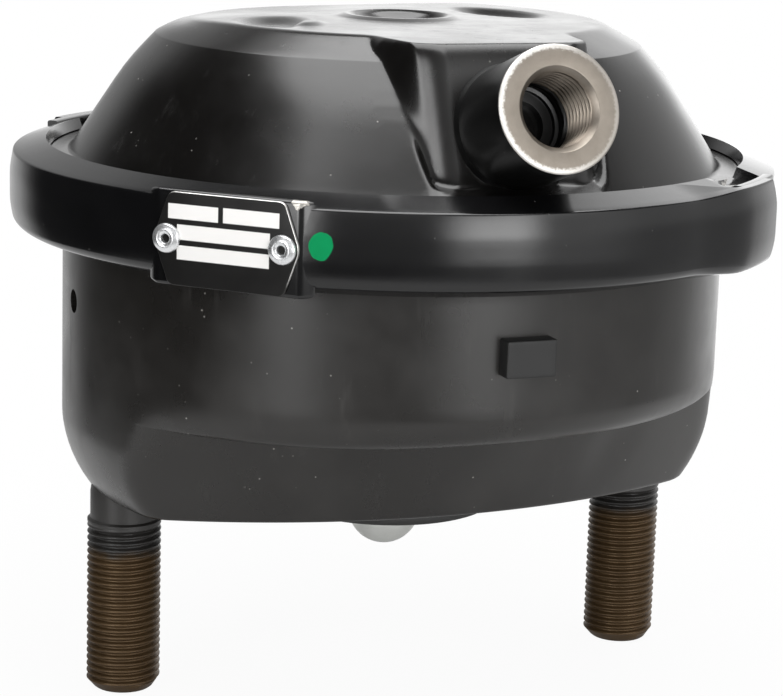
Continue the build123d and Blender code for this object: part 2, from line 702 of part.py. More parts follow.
def bellows():
    """Folded rubber gaiter from the seal to a collar on the rod."""
    low = -SEAL_DEPTH / 2
    start = spring_floor() + SEAL_LIP_HEIGHT
    outer = bellows_foot()
    path = [(outer, low), (outer, start)]
    for fold in range(BELLOWS_FOLDS):
        level = start + fold * BELLOWS_PITCH
        path.append((BELLOWS_INNER + BELLOWS_WALL, level + BELLOWS_PITCH / 2))
        path.append((BELLOWS_OUTER, level + BELLOWS_PITCH))
    collar = ROD_RADIUS + SOFT_CLEARANCE + BELLOWS_WALL
    path.append((collar, bellows_top() + BELLOWS_PITCH / 2))
    path.append((collar, bellows_top() + BELLOWS_PITCH / 2 + BELLOWS_COLLAR))
    return strip(path, [1.0] * (len(path) - 2), -BELLOWS_WALL)


def bellows_ring():
    """Steel ring that presses the bellows bead into the seal."""
    outer = bellows_foot() - BELLOWS_WALL - SEAT_CLEARANCE
    height = spring_floor() + SEAL_DEPTH / 2
    ring = Cylinder(outer, height, align=align_low())
    ring -= Cylinder(outer - BELLOWS_RING_WALL, 4 * height)
    return Pos(0, 0, -SEAL_DEPTH / 2) * ring


def bellows_clip():
    """Clip that holds the bellows collar on the rod."""
    inner = ROD_RADIUS + SOFT_CLEARANCE + BELLOWS_WALL + SEAT_CLEARANCE
    level = bellows_top() + BELLOWS_PITCH / 2 + (BELLOWS_COLLAR - CLIP_HEIGHT) / 2
    ring = Cylinder(inner + CLIP_WALL, CLIP_HEIGHT, align=align_low())
    ring -= Cylinder(inner, 4 * CLIP_HEIGHT)
    return Pos(0, 0, level) * ring


def mounting_studs():
    """Two studs put in from inside; the head is cut to a D by the end of the foot."""
    top = spring_floor()
    lines = Polyline(
        (0, top), (STUD_NECK_RADIUS, top), (STUD_NECK_RADIUS, -STUD_NECK_LENGTH),
        (STUD_RADIUS, -STUD_NECK_LENGTH - 0.6), (STUD_RADIUS, STUD_TIP_CHAMFER - STUD_LENGTH),
        (STUD_RADIUS - STUD_TIP_CHAMFER, -STUD_LENGTH), (0, -STUD_LENGTH), close=True)
    shank = turned(lines)
    head = Pos(0, 0, top) * Cylinder(STUD_HEAD_RADIUS, STUD_HEAD_THICKNESS, align=align_low())
    inside = foot_block(SHELL_WALL + BASE_PLATE_CLEARANCE)
    places = [Pos(side * STUD_SPACING / 2, 0, 0) for side in (-1, 1)]
    return [place * shank + (place * head & inside) for place in places]


def save(name, shapes):
    """Write one node to its own STEP file."""
    shapes = shapes if isinstance(shapes, list) else [shapes]
    solids = [solid for shape in shapes for solid in shape.solids()]
    export_step(Compound(children=solids), f"parts/{name}.step")


def main():
    os.makedirs("parts", exist_ok=True)
    save("housing", housing())
    save("base_plate", base_plate())
    save("mounting_studs", mounting_studs())
    save("vent_plugs", vent_plugs())
    save("pressure_housing", pressure_housing())
    save("port_boss", port_boss())
    save("clamp_front", clamp_front())
    save("clamp_rear", clamp_rear())
    save("name_plate", name_plate())
    save("plate_rivets", plate_rivets())
    save("diaphragm", diaphragm())
    save("push_plate", push_plate())
    save("push_rod", push_rod())
    save("return_spring", return_spring())
    save("spring_seat", spring_seat())
    save("flange_seal", flange_seal())
    save("bellows", bellows())
    save("bellows_ring", bellows_ring())
    save("bellows_clip", bellows_clip())


main()
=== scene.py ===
import math

import bpy
from mathutils import Euler, Matrix, Vector


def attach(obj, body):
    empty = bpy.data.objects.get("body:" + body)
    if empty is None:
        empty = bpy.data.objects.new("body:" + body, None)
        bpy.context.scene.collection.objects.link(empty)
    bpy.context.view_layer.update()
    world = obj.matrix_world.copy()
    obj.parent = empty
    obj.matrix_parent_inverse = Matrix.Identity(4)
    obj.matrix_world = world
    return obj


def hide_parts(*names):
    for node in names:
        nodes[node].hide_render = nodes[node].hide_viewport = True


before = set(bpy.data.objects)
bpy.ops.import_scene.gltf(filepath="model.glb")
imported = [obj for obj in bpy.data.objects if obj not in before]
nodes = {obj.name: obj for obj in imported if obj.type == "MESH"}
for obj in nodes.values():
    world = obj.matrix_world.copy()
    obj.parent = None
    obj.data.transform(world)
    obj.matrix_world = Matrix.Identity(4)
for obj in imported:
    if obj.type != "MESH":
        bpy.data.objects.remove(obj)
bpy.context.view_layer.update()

# Pieces are worked out in millimetres and made metres when they are finished.
MM = 0.001

# Lower shell
BODY_R = 71.8
SHOULDER_Z = 23.0
FOOT_HALF = 38.8
FOOT_SIDE_R = 139.0
FOOT_DRAFT = math.tan(math.radians(20.0))
FOOT_CURVE_R = 25.0
FOOT_CURVE_Z = 15.8
FOOT_CORNER = 6.6
FOOT_BLEND = 2.4
HOLE_R = 25.05
STUD_X = 60.325
NECK_R = 7.35
HEAD_X = 65.9
VENT_Z = 42.0
VENT_HOLE_R = 2.5
# The plug's size, and how far its middle lies to the side and out from the wall
PLUG_SIZE = (10.6, 4.6, 7.5)
PLUG_SIDE = -0.15
PLUG_OUT = 1.3
SHEET = 3.0

# Hollows and swellings that drawing left in the foot:
# angle, level, half width in degrees, half height and depth
DENTS = [(-152.0, 13.0, 8.0, 13.0, 0.9), (-139.0, 9.0, 9.0, 10.0, -0.5),
         (-122.0, 12.0, 14.0, 9.0, 0.35), (-68.0, 14.0, 12.0, 9.0, 0.3),
         (-46.0, 13.0, 9.0, 12.0, 0.6), (28.0, 13.0, 9.0, 12.0, 0.7)]

# Clamp joint
JOINT_Z = 64.5
RIM_SLOPE = math.tan(math.radians(20.0))
RIM_R = 79.4
RIM_RISE = 7.09
CLAMP_R = 83.1
CLAMP_LIP = 75.4
CLAMP_HALF = 9.8
CLAMP_WALL = 2.5
CORNER_IN = 0.7
CORNER_RISE = 7.5
WALL_FLAT = 3.4
FLANGE_FALL = (CLAMP_HALF - CORNER_RISE) / (CLAMP_R - CORNER_IN - CLAMP_LIP)
LAP_HALF = 8.7
# Directions in degrees: the front half's strap starts to open at ramp and is open at start,
# its torn lips end at lip, the strap ends at end, and the other half begins at next
LAP = {"ramp": -65.0, "start": -54.0, "lip": -50.5, "end": -44.0, "next": -40.0}

# Name plate
PLATE_ANGLE = math.radians(-134.4)
PLATE_FLAT = 82.0
PLATE_Z = 64.1
PLATE_THICK = 0.8
PLATE_TOP_HALF = 12.2
PLATE_MIDDLE_HALF = 15.5
PLATE_HIGH_HALF = 9.1
# Blank fields on the plate: left, right, low and high
PLATE_FIELDS = [(-12.3, -1.65, 3.9, 6.8), (-0.6, 11.2, 3.95, 6.85), (-10.35, 9.3, -0.1, 2.85),
                (-10.35, 9.2, -3.95, -1.2)]
RIVET_REACH = 12.25
RIVET_SHIFT = -0.3
# Block behind the plate, how far its front lies from the flat, and its taper
BLOCK_SIZE = (36.0, 18.8, 2.4)
BLOCK_BACK = 0.01
BLOCK_TAPER = 0.85
# Chip beside the plate, across and up from its middle, and the dab of paint on the band
CHIP_AT = (15.0, 9.2)
CHIP_R = 3.6
DAB_ANGLE = math.radians(-121.2)
DAB_Z = 65.15
DAB_R = 2.72

# Upper shell and port
COVER_TOP = 101.4
PORT_TILT = math.radians(17.6)
PORT_BASE = (0.0, -62.5, 85.5)
PORT_LENGTH = 20.9
PORT_R = 12.5
PORT_ROOT_R = 8.02
PORT_CREST_R = 7.25
PORT_MOUTH = 1.2
PAD_SLOPE = math.tan(PORT_TILT)
# Half width of the pad abreast of PAD_MIDDLE, its taper, the width and the fall of its corners
PAD_HALF = 20.6
PAD_TAPER = 0.175
PAD_MIDDLE = -48.0
PAD_CORNER = 4.1
PAD_FALL = 2.55
# Shallow dishes in the top: middle, half width, half length, turn and depth
DISHES = [(-32.0, -8.0, 8.5, 17.0, -20.0, 1.7), (-26.5, -14.0, 5.0, 8.0, -20.0, -0.7),
          (0.0, 0.0, 9.5, 9.5, 0.0, 1.3), (27.0, 8.0, 8.0, 15.0, 20.0, 1.5)]
# Ring pressed round the middle of the top, and the groove inside it
RING_R = 11.5
GROOVE_R = 7.5

# Threads of 1.5 mm pitch, drawn with ten rings to a turn
PITCH = 1.5
THREAD_STEP = 0.15
STUD_CREST_R = 7.97
STUD_ROOT_R = 7.08
STUD_END = -44.0

# Camera: place in metres, and turns in degrees about the upright, the level and its own axis
CAMERA_AT = (-0.210833, -0.522832, 0.151378)
CAMERA_YAW = -22.0298
CAMERA_PITCH = -12.3334
CAMERA_ROLL = 1.7730
CAMERA_LENS = 119.589

# Floor and lamp, in metres, and the lamp's power in watts
FLOOR_Z = -0.044
FLOOR_R = 0.26
LAMP_SIZE = (1.18, 1.29)
LAMP_AT = (0.015, 0.01, 1.08)
LAMP_YAW = -21.65
LAMP_POWER = 27.5

# Studio that the object reflects: direction and width of its two upright lights,
# the direction of its window and the light that comes from everywhere
LEFT_LIGHT = (-145.0, 0.155)
RIGHT_LIGHT = (-82.5, 0.2)
WINDOW_AT = (0.58, 0.61, 0.54)
STUDIO_DIM = 0.02


# ---------------------------------------------------------------- modelling


def clear():
    """Leaves edit mode with nothing selected."""
    if bpy.context.object and bpy.context.object.mode != "OBJECT":
        bpy.ops.object.mode_set(mode="OBJECT")
    bpy.ops.object.select_all(action="DESELECT")


def only(piece):
    """Selects one piece and makes it the active one."""
    clear()
    piece.hide_set(False)
    piece.select_set(True)
    bpy.context.view_layer.objects.active = piece


def edit(piece, action="SELECT"):
    """Opens one piece for editing, with all or none of its corners chosen."""
    only(piece)
    bpy.ops.object.mode_set(mode="EDIT")
    bpy.ops.mesh.select_mode(type="VERT")
    bpy.ops.mesh.select_all(action=action)


def rounded(points, radii, step=3.0, turn_step=9.0):
    """A path with its corners rounded off, walked in short steps."""
    path = [points[0]]
    for i, radius in enumerate(radii, start=1):
        here = Vector(points[i])
        back = (Vector(points[i - 1]) - here).normalized()
        ahead = (Vector(points[i + 1]) - here).normalized()
        turn = math.pi - back.angle(ahead)
        if radius <= 0 or turn < 0.01:
            path.append(tuple(here))
            continue
        reach = radius * math.tan(turn / 2)
        centre = here + (back + ahead).normalized() * (radius / math.cos(turn / 2))
        first = here + back * reach - centre
        last = here + ahead * reach - centre
        count = max(2, math.ceil(math.degrees(turn) / turn_step))
        for k in range(count + 1):
            path.append(tuple(centre + first.slerp(last, k / count) * radius))
    path.append(points[-1])
    walked = [path[0]]
    for a, b in zip(path, path[1:]):
        count = max(1, math.ceil(math.dist(a, b) / step))
        walked += [tuple(Vector(a).lerp(Vector(b), k / count)) for k in range(1, count + 1)]
    return [p for i, p in enumerate(walked) if i == 0 or math.dist(p, walked[i - 1]) > 1e-4]


def turn_piece(name, path, sides=256, closed=False):
    """Turned piece: a circle is drawn out and resized along a path of radius and height."""
    clear()
    radius, height = path[0]
    bpy.ops.mesh.primitive_circle_add(vertices=sides, radius=max(radius, 0.01), location=(0, 0, 0))
    piece = bpy.context.object
    piece.name = name
    bpy.ops.object.mode_set(mode="EDIT")
    bpy.ops.mesh.select_all(action="SELECT")
    bpy.ops.transform.translate(value=(0, 0, height))
    radius = max(radius, 0.01)
    for wide, high in path[1:]:
        wide = max(wide, 0.01)
        bpy.ops.mesh.extrude_edges_move(TRANSFORM_OT_translate={"value": (0, 0, high - height)})
        scale = wide / radius
        bpy.ops.transform.resize(value=(scale, scale, 1), center_override=(0, 0, high))
        radius, height = wide, high
    bpy.ops.mesh.select_all(action="SELECT")
    bpy.ops.mesh.remove_doubles(threshold=0.02)
    if closed:
        bpy.ops.mesh.normals_make_consistent(inside=False)
    bpy.ops.object.mode_set(mode="OBJECT")
    return piece


def spin_piece(name, outline, start, end, steps):
    """Closed outline of radius and height carried round the axis between two angles."""
    clear()
    bpy.ops.mesh.primitive_circle_add(vertices=len(outline), radius=1, fill_type="NGON")
    piece = bpy.context.object
    piece.name = name
    angle = math.radians(start)
    for vertex, (radius, height) in zip(piece.data.vertices, outline):
        vertex.co = (radius * math.cos(angle), radius * math.sin(angle), height)
    edit(piece)
    bpy.ops.mesh.spin(
        steps=steps, angle=-math.radians(end - start), center=(0, 0, 0), axis=(0, 0, 1))
    bpy.ops.mesh.select_all(action="SELECT")
    bpy.ops.mesh.remove_doubles(threshold=0.005)
    bpy.ops.mesh.normals_make_consistent(inside=False)
    bpy.ops.object.mode_set(mode="OBJECT")
    return piece


def reshape(piece, move):
    """Moves every vertex of a piece by a rule."""
    for vertex in piece.data.vertices:
        vertex.co = move(*vertex.co)


def divide(piece, chosen, cuts):
    """Divides the faces whose middles are chosen."""
    edit(piece, "DESELECT")
    bpy.ops.object.mode_set(mode="OBJECT")
    for face in piece.data.polygons:
        face.select = chosen(*face.center)
    bpy.ops.object.mode_set(mode="EDIT")
    bpy.ops.mesh.select_mode(type="FACE")
    bpy.ops.mesh.subdivide(number_cuts=cuts)
    bpy.ops.object.mode_set(mode="OBJECT")


def modify(piece, kind, **settings):
    """Adds a modifier and applies it."""
    only(piece)
    modifier = piece.modifiers.new(kind.title(), kind)
    for key, value in settings.items():
        setattr(modifier, key, value)
    bpy.ops.object.modifier_apply(modifier=modifier.name)


def thicken(piece, wall):
    """Gives a sheet its wall on the inner side."""
    edit(piece)
    bpy.ops.mesh.normals_make_consistent(inside=False)
    bpy.ops.object.mode_set(mode="OBJECT")
    outward = sum(face.normal.x * face.center.x + face.normal.y * face.center.y
                  for face in piece.data.polygons)
    if outward < 0:
        piece.data.flip_normals()
    modify(piece, "SOLIDIFY", thickness=wall, offset=-1.0, use_even_offset=False)


def cut(piece, tool):
    """Cuts a tool away from a piece and throws the tool away."""
    modify(piece, "BOOLEAN", object=tool, operation="DIFFERENCE", solver="EXACT")
    bpy.data.objects.remove(tool)


def join(name, *parts):
    """Joins parts into one piece."""
    clear()
    for part in parts:
        part.select_set(True)
    bpy.context.view_layer.objects.active = parts[0]
    bpy.ops.object.join()
    parts[0].name = name
    return parts[0]


def double(piece, matrix, name=None):
    """A copy with its own mesh, moved by a matrix."""
    copy = piece.copy()
    copy.data = piece.data.copy()
    bpy.context.scene.collection.objects.link(copy)
    copy.data.transform(matrix)
    if matrix.determinant() < 0:
        copy.data.flip_normals()
    if name:
        copy.name = name
    return copy


def settle(piece, body, slot, *stands_for, sharp=35.0, finishes=()):
    """Smooths a finished piece, makes it metres, ties it to its body and hides the nodes it stands
    for.
    """
    only(piece)
    bpy.ops.object.transform_apply(location=True, rotation=True, scale=True)
    piece.data.transform(Matrix.Scale(MM, 4))
    bpy.ops.object.shade_smooth_by_angle(angle=math.radians(sharp))
    for finish in finishes:
        if finish.name not in piece.data.materials:
            piece.data.materials.append(finish)
    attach(piece, body)
    if stands_for:
        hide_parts(*stands_for)
    clear()
    return piece


def polar(x, y):
    """Distance from the axis and direction round it."""
    return math.hypot(x, y), math.atan2(y, x)


def smooth(value, low, high):
    """Rises from nought to one between two values."""
    t = min(max((value - low) / (high - low), 0.0), 1.0)
    return t * t * (3 - 2 * t)


def soft_least(a, b, blend):
    """The lesser of two values, rounded where they meet."""
    h = max(blend - abs(a - b), 0.0) / blend
    return min(a, b) - h * h * blend / 4


def plate_matrix(out=0.0):
    """Places what is modelled flat, with its back on Z = 0, on the band's flat."""
    turn = Matrix.Rotation(PLATE_ANGLE + math.pi / 2, 4, "Z")
    return (turn @ Matrix.Translation((0, -(PLATE_FLAT + out), PLATE_Z))
            @ Matrix.Rotation(math.pi / 2, 4, "X"))


# ---------------------------------------------------------------- materials


class Wire:
    """A node socket; arithmetic on it adds Math nodes to the same material."""

    def __init__(self, tree, socket):
        self.tree = tree
        self.socket = socket

    def maths(self, operation, *values):
        """A Math node fed by the values."""
        made = add_node(self.tree, "ShaderNodeMath", {"operation": operation},
                        dict(enumerate(values)))
        return Wire(self.tree, made.outputs[0])

    def __add__(self, other):
        return self.maths("ADD", self, other)

    def __mul__(self, other):
        return self.maths("MULTIPLY", self, other)

    def __sub__(self, other):
        return self.maths("SUBTRACT", self, other)

    def __rsub__(self, other):
        return self.maths("SUBTRACT", other, self)

    def __gt__(self, other):
        return self.maths("GREATER_THAN", self, other)

    __radd__ = __add__
    __rmul__ = __mul__

    def size(self):
        return self.maths("ABSOLUTE", self)

    def root(self):
        return self.maths("SQRT", self)

    def most(self, other):
        return self.maths("MAXIMUM", self, other)

    def between(self, low, high, soft):
        """One inside a band and nought outside it, with soft edges."""
        return self.step(low - soft, low + soft) * (1 - self.step(high - soft, high + soft))

    def step(self, low, high):
        """Rises from nought to one between two values."""
        made = add_node(self.tree, "ShaderNodeMapRange",
                        {"interpolation_type": "SMOOTHSTEP", "clamp": True},
                        {0: self, 1: low, 2: high, 3: 0.0, 4: 1.0})
        return Wire(self.tree, made.outputs[0])


def fill(tree, socket, value):
    """Joins a wire or another socket to a socket, or gives it a constant."""
    if isinstance(value, Wire):
        tree.links.new(value.socket, socket)
    elif isinstance(value, bpy.types.NodeSocket):
        tree.links.new(value, socket)
    else:
        socket.default_value = value


def add_node(tree, kind, settings=None, values=None):
    """Adds a node, sets it and joins or fills its sockets."""
    node = tree.nodes.new(kind)
    for key, value in (settings or {}).items():
        setattr(node, key, value)
    for key, value in (values or {}).items():
        fill(tree, node.inputs[key], value)
    return node


class Finish:
    """One surface finish: a Principled shader and the patterns that feed it."""

    def __init__(self, name, colour, roughness, metallic=0.0, **fixed):
        self.material = bpy.data.materials.new(name)
        self.material.use_nodes = True
        self.tree = self.material.node_tree
        self.shader = self.tree.nodes["Principled BSDF"]
        self.place = add_node(self.tree, "ShaderNodeTexCoord").outputs["Object"]
        self.set("Base Color", colour + (1.0,))
        self.set("Roughness", roughness)
        self.set("Metallic", metallic)
        for key, value in fixed.items():
            self.set(key.replace("_", " "), value)

    def set(self, socket, value):
        """Joins or fills a socket of the shader."""
        fill(self.tree, self.shader.inputs[socket], value)

    def node(self, kind, settings=None, values=None):
        return add_node(self.tree, kind, settings, values)

    def axes(self, source=None):
        """The three coordinates in millimetres."""
        parts = self.node("ShaderNodeSeparateXYZ", None, {0: source or self.place})
        return [Wire(self.tree, parts.outputs[i]) * 1000.0 for i in range(3)]

    def mapped(self, rotation=(0, 0, 0), scale=(1, 1, 1)):
        """The coordinates, turned or stretched."""
        made = self.node("ShaderNodeMapping", None,
                         {"Vector": self.place, "Rotation": rotation, "Scale": scale})
        return made.outputs[0]

    def noise(self, size, detail=3.0, rough=0.5, source=None):
        """Cloudy noise with features about this many millimetres across."""
        made = self.node("ShaderNodeTexNoise", None, {
            "Vector": source or self.place, "Scale": 1000.0 / size, "Detail": detail,
            "Roughness": rough})
        return Wire(self.tree, made.outputs[0])

    def cells(self, size):
        """Distance from the nearest of points strewn about this many millimetres apart."""
        made = self.node("ShaderNodeTexVoronoi", None, {
            "Vector": self.place, "Scale": 1000.0 / size})
        return Wire(self.tree, made.outputs["Distance"])

    def mix(self, amount, first, second):
        """One colour over another."""
        made = self.node("ShaderNodeMix", {"data_type": "RGBA"}, {0: amount})
        for index, colour in ((6, first), (7, second)):
            if isinstance(colour, bpy.types.NodeSocket):
                self.tree.links.new(colour, made.inputs[index])
            else:
                made.inputs[index].default_value = colour + (1.0,)
        return made.outputs[2]

    def bump(self, height, distance):
        """Relief, where a height of one stands this many millimetres out."""
        made = self.node("ShaderNodeBump", None, {
            "Height": height, "Distance": distance * MM, "Strength": 1.0})
        self.set("Normal", made.outputs[0])

    def cover_with(self, second, amount):
        """Shows a second shader in place of the first, as far as the amount says."""
        blend = self.node("ShaderNodeMixShader", None, {
            0: amount, 1: self.shader.outputs[0], 2: second.outputs[0]})
        output = self.tree.nodes["Material Output"]
        self.tree.links.new(blend.outputs[0], output.inputs[0])


def black_paint(name, colour, roughness, streaks, dust, mottle=0.1):
    """Black dip paint: soft peel, cloudy sheen, fine dust and faint rubs."""
    paint = Finish(name, colour, roughness, IOR=1.5)
    cloud = paint.noise(24.0, 4.0, 0.6)
    patch = paint.noise(42.0, 5.0, 0.62) - 0.5
    fine = paint.noise(1.1, 2.0)
    specks = paint.cells(2.6).step(0.10, 0.04) * paint.noise(9.0, 2.0).step(0.52, 0.7)
    stretched = paint.mapped(scale=(1, 1, 0.16))
    rubs = paint.noise(5.0, 5.0, 0.7, stretched).step(0.56, 0.78) * streaks
    grey = tuple(min(c * 2.2 + 0.012, 1.0) for c in colour)
    tone = (cloud - 0.42) * 0.45 + patch * mottle * 3 + rubs
    worn = paint.mix(tone, colour, grey)
    paint.set("Base Color", paint.mix(specks * dust, worn, (0.34, 0.33, 0.31)))
    paint.set("Roughness", (cloud - 0.5) * 0.22 + patch * mottle + rubs * 0.25 + roughness)
    paint.bump(paint.noise(3.2, 2.0) * 0.6 + fine * 0.4, 0.012)
    return paint.material


def band_finish(front):
    """Glossier black of the clamp band; the front half has a green dab and a chipped edge."""
    name = "band_paint_front" if front else "band_paint_rear"
    paint = Finish(name, (0.003, 0.003, 0.0032), 0.17, IOR=1.5)
    x, y, z = paint.axes()
    cloud = paint.noise(18.0, 4.0, 0.6)
    colour = paint.mix((cloud - 0.4) * 0.4, (0.003, 0.003, 0.0033), (0.016, 0.016, 0.017))
    specks = paint.cells(2.2).step(0.10, 0.04) * paint.noise(7.0, 2.0).step(0.55, 0.7)
    colour = paint.mix(specks * 0.4, colour, (0.3, 0.3, 0.29))
    rough = (cloud - 0.5) * 0.10 + 0.17
    height = paint.noise(3.0, 2.0)

    def away(point, flat):
        """Distance from a point, squashed upright by a factor."""
        return ((x - point.x) * (x - point.x) + (y - point.y) * (y - point.y)
                + (z - point.z) * (z - point.z) * flat).root()

    if front:
        chip_at = plate_matrix() @ Vector((*CHIP_AT, 0.0))
        ragged = away(chip_at, 2.5) + paint.noise(1.6, 4.0, 0.7) * 4.0
        chip = ragged.step(CHIP_R + 0.5, CHIP_R)
        colour = paint.mix(chip, colour, (0.36, 0.345, 0.32))
        paint.set("Metallic", chip * 0.9)
        rough = rough + chip * 0.2
        height = height - chip * 4.0
    paint.set("Base Color", colour)
    paint.set("Roughness", rough)
    paint.bump(height, 0.01)
    if front:
        dot = Vector((CLAMP_R, 0, DAB_Z))
        dot.rotate(Euler((0, 0, DAB_ANGLE)))
        reach = away(dot, 0.8) + paint.noise(3.0, 2.0) * 0.9
        dab = 1 - reach.step(DAB_R, DAB_R + 0.18)
        tint = paint.mix(paint.noise(2.5, 3.0), (0.0006, 0.19, 0.062), (0.001, 0.24, 0.08))
        enamel = paint.node("ShaderNodeBsdfPrincipled", None, {
            "Base Color": tint, "Roughness": 0.6, "Specular IOR Level": 0.08})
        paint.cover_with(enamel, dab)
    return paint.material


def raw_edge_finish():
    """Cut and chipped ends of the band, where bare steel shows."""
    steel = Finish("chipped_steel", (0.3, 0.29, 0.28), 0.4, 0.8)
    chips = steel.noise(2.4, 5.0, 0.7).step(0.44, 0.56)
    steel.set("Base Color", steel.mix(chips, (0.02, 0.02, 0.02), (0.42, 0.41, 0.39)))
    steel.set("Metallic", chips * 0.85)
    steel.set("Roughness", 0.5 - chips * 0.15)
    steel.bump(chips, 0.05)
    return steel.material


def stud_finish():
    """Bronze coloured coating, black with paint near the foot."""
    stud = Finish("stud_coating", (0.09, 0.065, 0.035), 0.42, 0.55)
    z = stud.axes()[2]
    cloud = stud.noise(5.0, 4.0, 0.6)
    band = stud.noise(2.0, 3.0)
    bronze = stud.mix(cloud, (0.052, 0.030, 0.012), (0.10, 0.062, 0.028))
    painted = (z + cloud * 4.0).step(-12.5, -9.0)
    stud.set("Base Color", stud.mix(painted, bronze, (0.012, 0.011, 0.010)))
    stud.set("Metallic", 0.6 - painted * 0.6)
    stud.set("Roughness", 0.34 + band * 0.2)
    stud.bump(stud.noise(0.8, 2.0), 0.01)
    return stud.material


def bare_port_finish():
    """Freshly turned steel of the port face and thread."""
    face = Finish("turned_steel", (0.5, 0.46, 0.42), 0.32, 0.9)
    x, y, z = face.axes()
    high = (y - PORT_BASE[1]) * math.sin(PORT_TILT) + (z - PORT_BASE[2]) * math.cos(PORT_TILT)
    reach = (x * x + high * high).root()
    grain = face.noise(0.5, 4.0, 0.7)
    cloud = face.noise(3.0, 4.0, 0.6)
    scuffed = (reach + grain * 1.6).step(12.0, 12.7) * (1 - x.step(-2.0, 9.0) * 0.7)
    steel = face.mix(cloud, (0.17, 0.148, 0.124), (0.26, 0.233, 0.20))
    # Painted shade: inside the bore the thread is mixed darker and browner than the face.
    steel = face.mix(reach.step(8.0, 7.0) * 0.55, steel, (0.15, 0.118, 0.09))
    face.set("Base Color", face.mix(scuffed, steel, (0.66, 0.64, 0.61)))
    face.set("Roughness", 0.26 + grain * 0.25 + scuffed * 0.12)
    face.bump(grain, 0.006)
    return face.material


def plate_finish():
    """Black printed plate with blank pale fields."""
    plate = Finish("plate_print", (0.01, 0.01, 0.01), 0.3, 0.0, IOR=1.22)
    local = plate.mapped(rotation=(0, 0, -(PLATE_ANGLE + math.pi / 2)))
    u, _, z = plate.axes(local)
    v = z - PLATE_Z
    white = None
    for left, right, low, high in PLATE_FIELDS:
        field = u.between(left, right, 0.08) * v.between(low, high, 0.08)
        white = field if white is None else white + field
    cloud = plate.noise(6.0, 3.0)
    black = plate.mix(cloud, (0.006, 0.006, 0.006), (0.014, 0.0135, 0.013))
    plate.set("Base Color", plate.mix(white, black, (0.74, 0.73, 0.715)))
    plate.set("Roughness", 0.26 + cloud * 0.12)
    plate.bump(white * 0.5 + plate.noise(1.0, 2.0) * 0.1, 0.02)
    return plate.material


def plate_edge_finish():
    """Cut edge of the plate: bright metal along the top and the right as a painted highlight, and
    dark along the rest.
    """
    edge = Finish("plate_edge", (0.4, 0.39, 0.38), 0.35, 0.8)
    local = edge.mapped(rotation=(0, 0, -(PLATE_ANGLE + math.pi / 2)))
    u, _, z = edge.axes(local)
    # Painted highlight: the edge is bright metal along the top and the right, and dark along the
    # rest.
    bright_metal = ((z - PLATE_Z) * 0.6 + u * 0.35 + edge.noise(3.0, 4.0, 0.7) * 7.0).step(3.5, 6.0)
    edge.set("Base Color", edge.mix(bright_metal, (0.02, 0.019, 0.018), (0.72, 0.71, 0.69)))
    edge.set("Metallic", bright_metal * 0.8)
    edge.set("Roughness", 0.45 - bright_metal * 0.12)
    edge.bump(edge.noise(0.6, 2.0), 0.01)
    return edge.material


def bright_finish(name, low, high, roughness, metallic, size):
    """Bright or plated metal with a cloudy tone and fine scratches."""
    metal = Finish(name, low, roughness, metallic)
    cloud = metal.noise(size, 4.0, 0.6)
    scratch = metal.noise(0.7, 3.0, 0.6, metal.mapped(scale=(1, 1, 8)))
    metal.set("Base Color", metal.mix(cloud, low, high))
    metal.set("Roughness", (scratch - 0.5) * 0.2 + cloud * 0.1 + roughness)
    metal.bump(scratch, 0.004)
    return metal.material


def rubber_finish(name, low, high, roughness):
    """Matt rubber with a dusty bloom."""
    rubber = Finish(name, low, roughness)
    bloom = rubber.noise(8.0, 5.0, 0.6)
    grain = rubber.noise(0.6, 2.0)
    rubber.set("Base Color", rubber.mix(bloom, low, high))
    rubber.set("Roughness", bloom * 0.12 + roughness)
    rubber.bump(grain * 0.6 + bloom * 0.4, 0.02)
    return rubber.material


PAINT_COVER = black_paint("cover_paint", (0.0034, 0.0031, 0.0029), 0.235, 0.3, 0.6)
PAINT_CUP = black_paint("cup_paint", (0.0108, 0.0098, 0.0088), 0.31, 0.45, 0.8, 0.4)
PAINT_BAND_FRONT = band_finish(True)
PAINT_BAND_REAR = band_finish(False)
CHIPPED = raw_edge_finish()
STUD = stud_finish()
PORT_BARE = bare_port_finish()
PORT_BLACK = black_paint("port_paint", (0.003, 0.003, 0.003), 0.3, 0.2, 0.3)
PLATE = plate_finish()
PLATE_EDGE = plate_edge_finish()
RIVET = bright_finish("rivet_metal", (0.62, 0.64, 0.66), (0.85, 0.85, 0.85), 0.24, 0.85, 2.0)
ZINC = bright_finish("zinc_plate", (0.68, 0.69, 0.66), (0.84, 0.85, 0.82), 0.33, 0.8, 6.0)
SPRING = bright_finish("spring_coating", (0.03, 0.03, 0.033), (0.06, 0.06, 0.065), 0.36, 0.3, 6.0)
RUBBER = rubber_finish("black_rubber", (0.012, 0.012, 0.012), (0.035, 0.034, 0.033), 0.6)
SEAL_RUBBER = rubber_finish("seal_rubber", (0.01, 0.01, 0.01), (0.025, 0.025, 0.024), 0.5)
PLUG = rubber_finish("plug_plastic", (0.003, 0.003, 0.003), (0.009, 0.009, 0.009), 0.48)


# ---------------------------------------------------------------- lower shell


def foot_edge(angle, level):
    """How far the foot reaches from the axis in one direction at one level."""
    c = FOOT_HALF + FOOT_DRAFT * level - FOOT_SIDE_R
    side = c * abs(math.sin(angle)) + math.sqrt(FOOT_SIDE_R ** 2 - (c * math.cos(angle)) ** 2)
    barrel = BODY_R
    if level < FOOT_CURVE_Z:
        drop = FOOT_CURVE_Z - level
        barrel += math.sqrt(FOOT_CURVE_R ** 2 - drop ** 2) - FOOT_CURVE_R
    return soft_least(side, barrel, FOOT_BLEND)


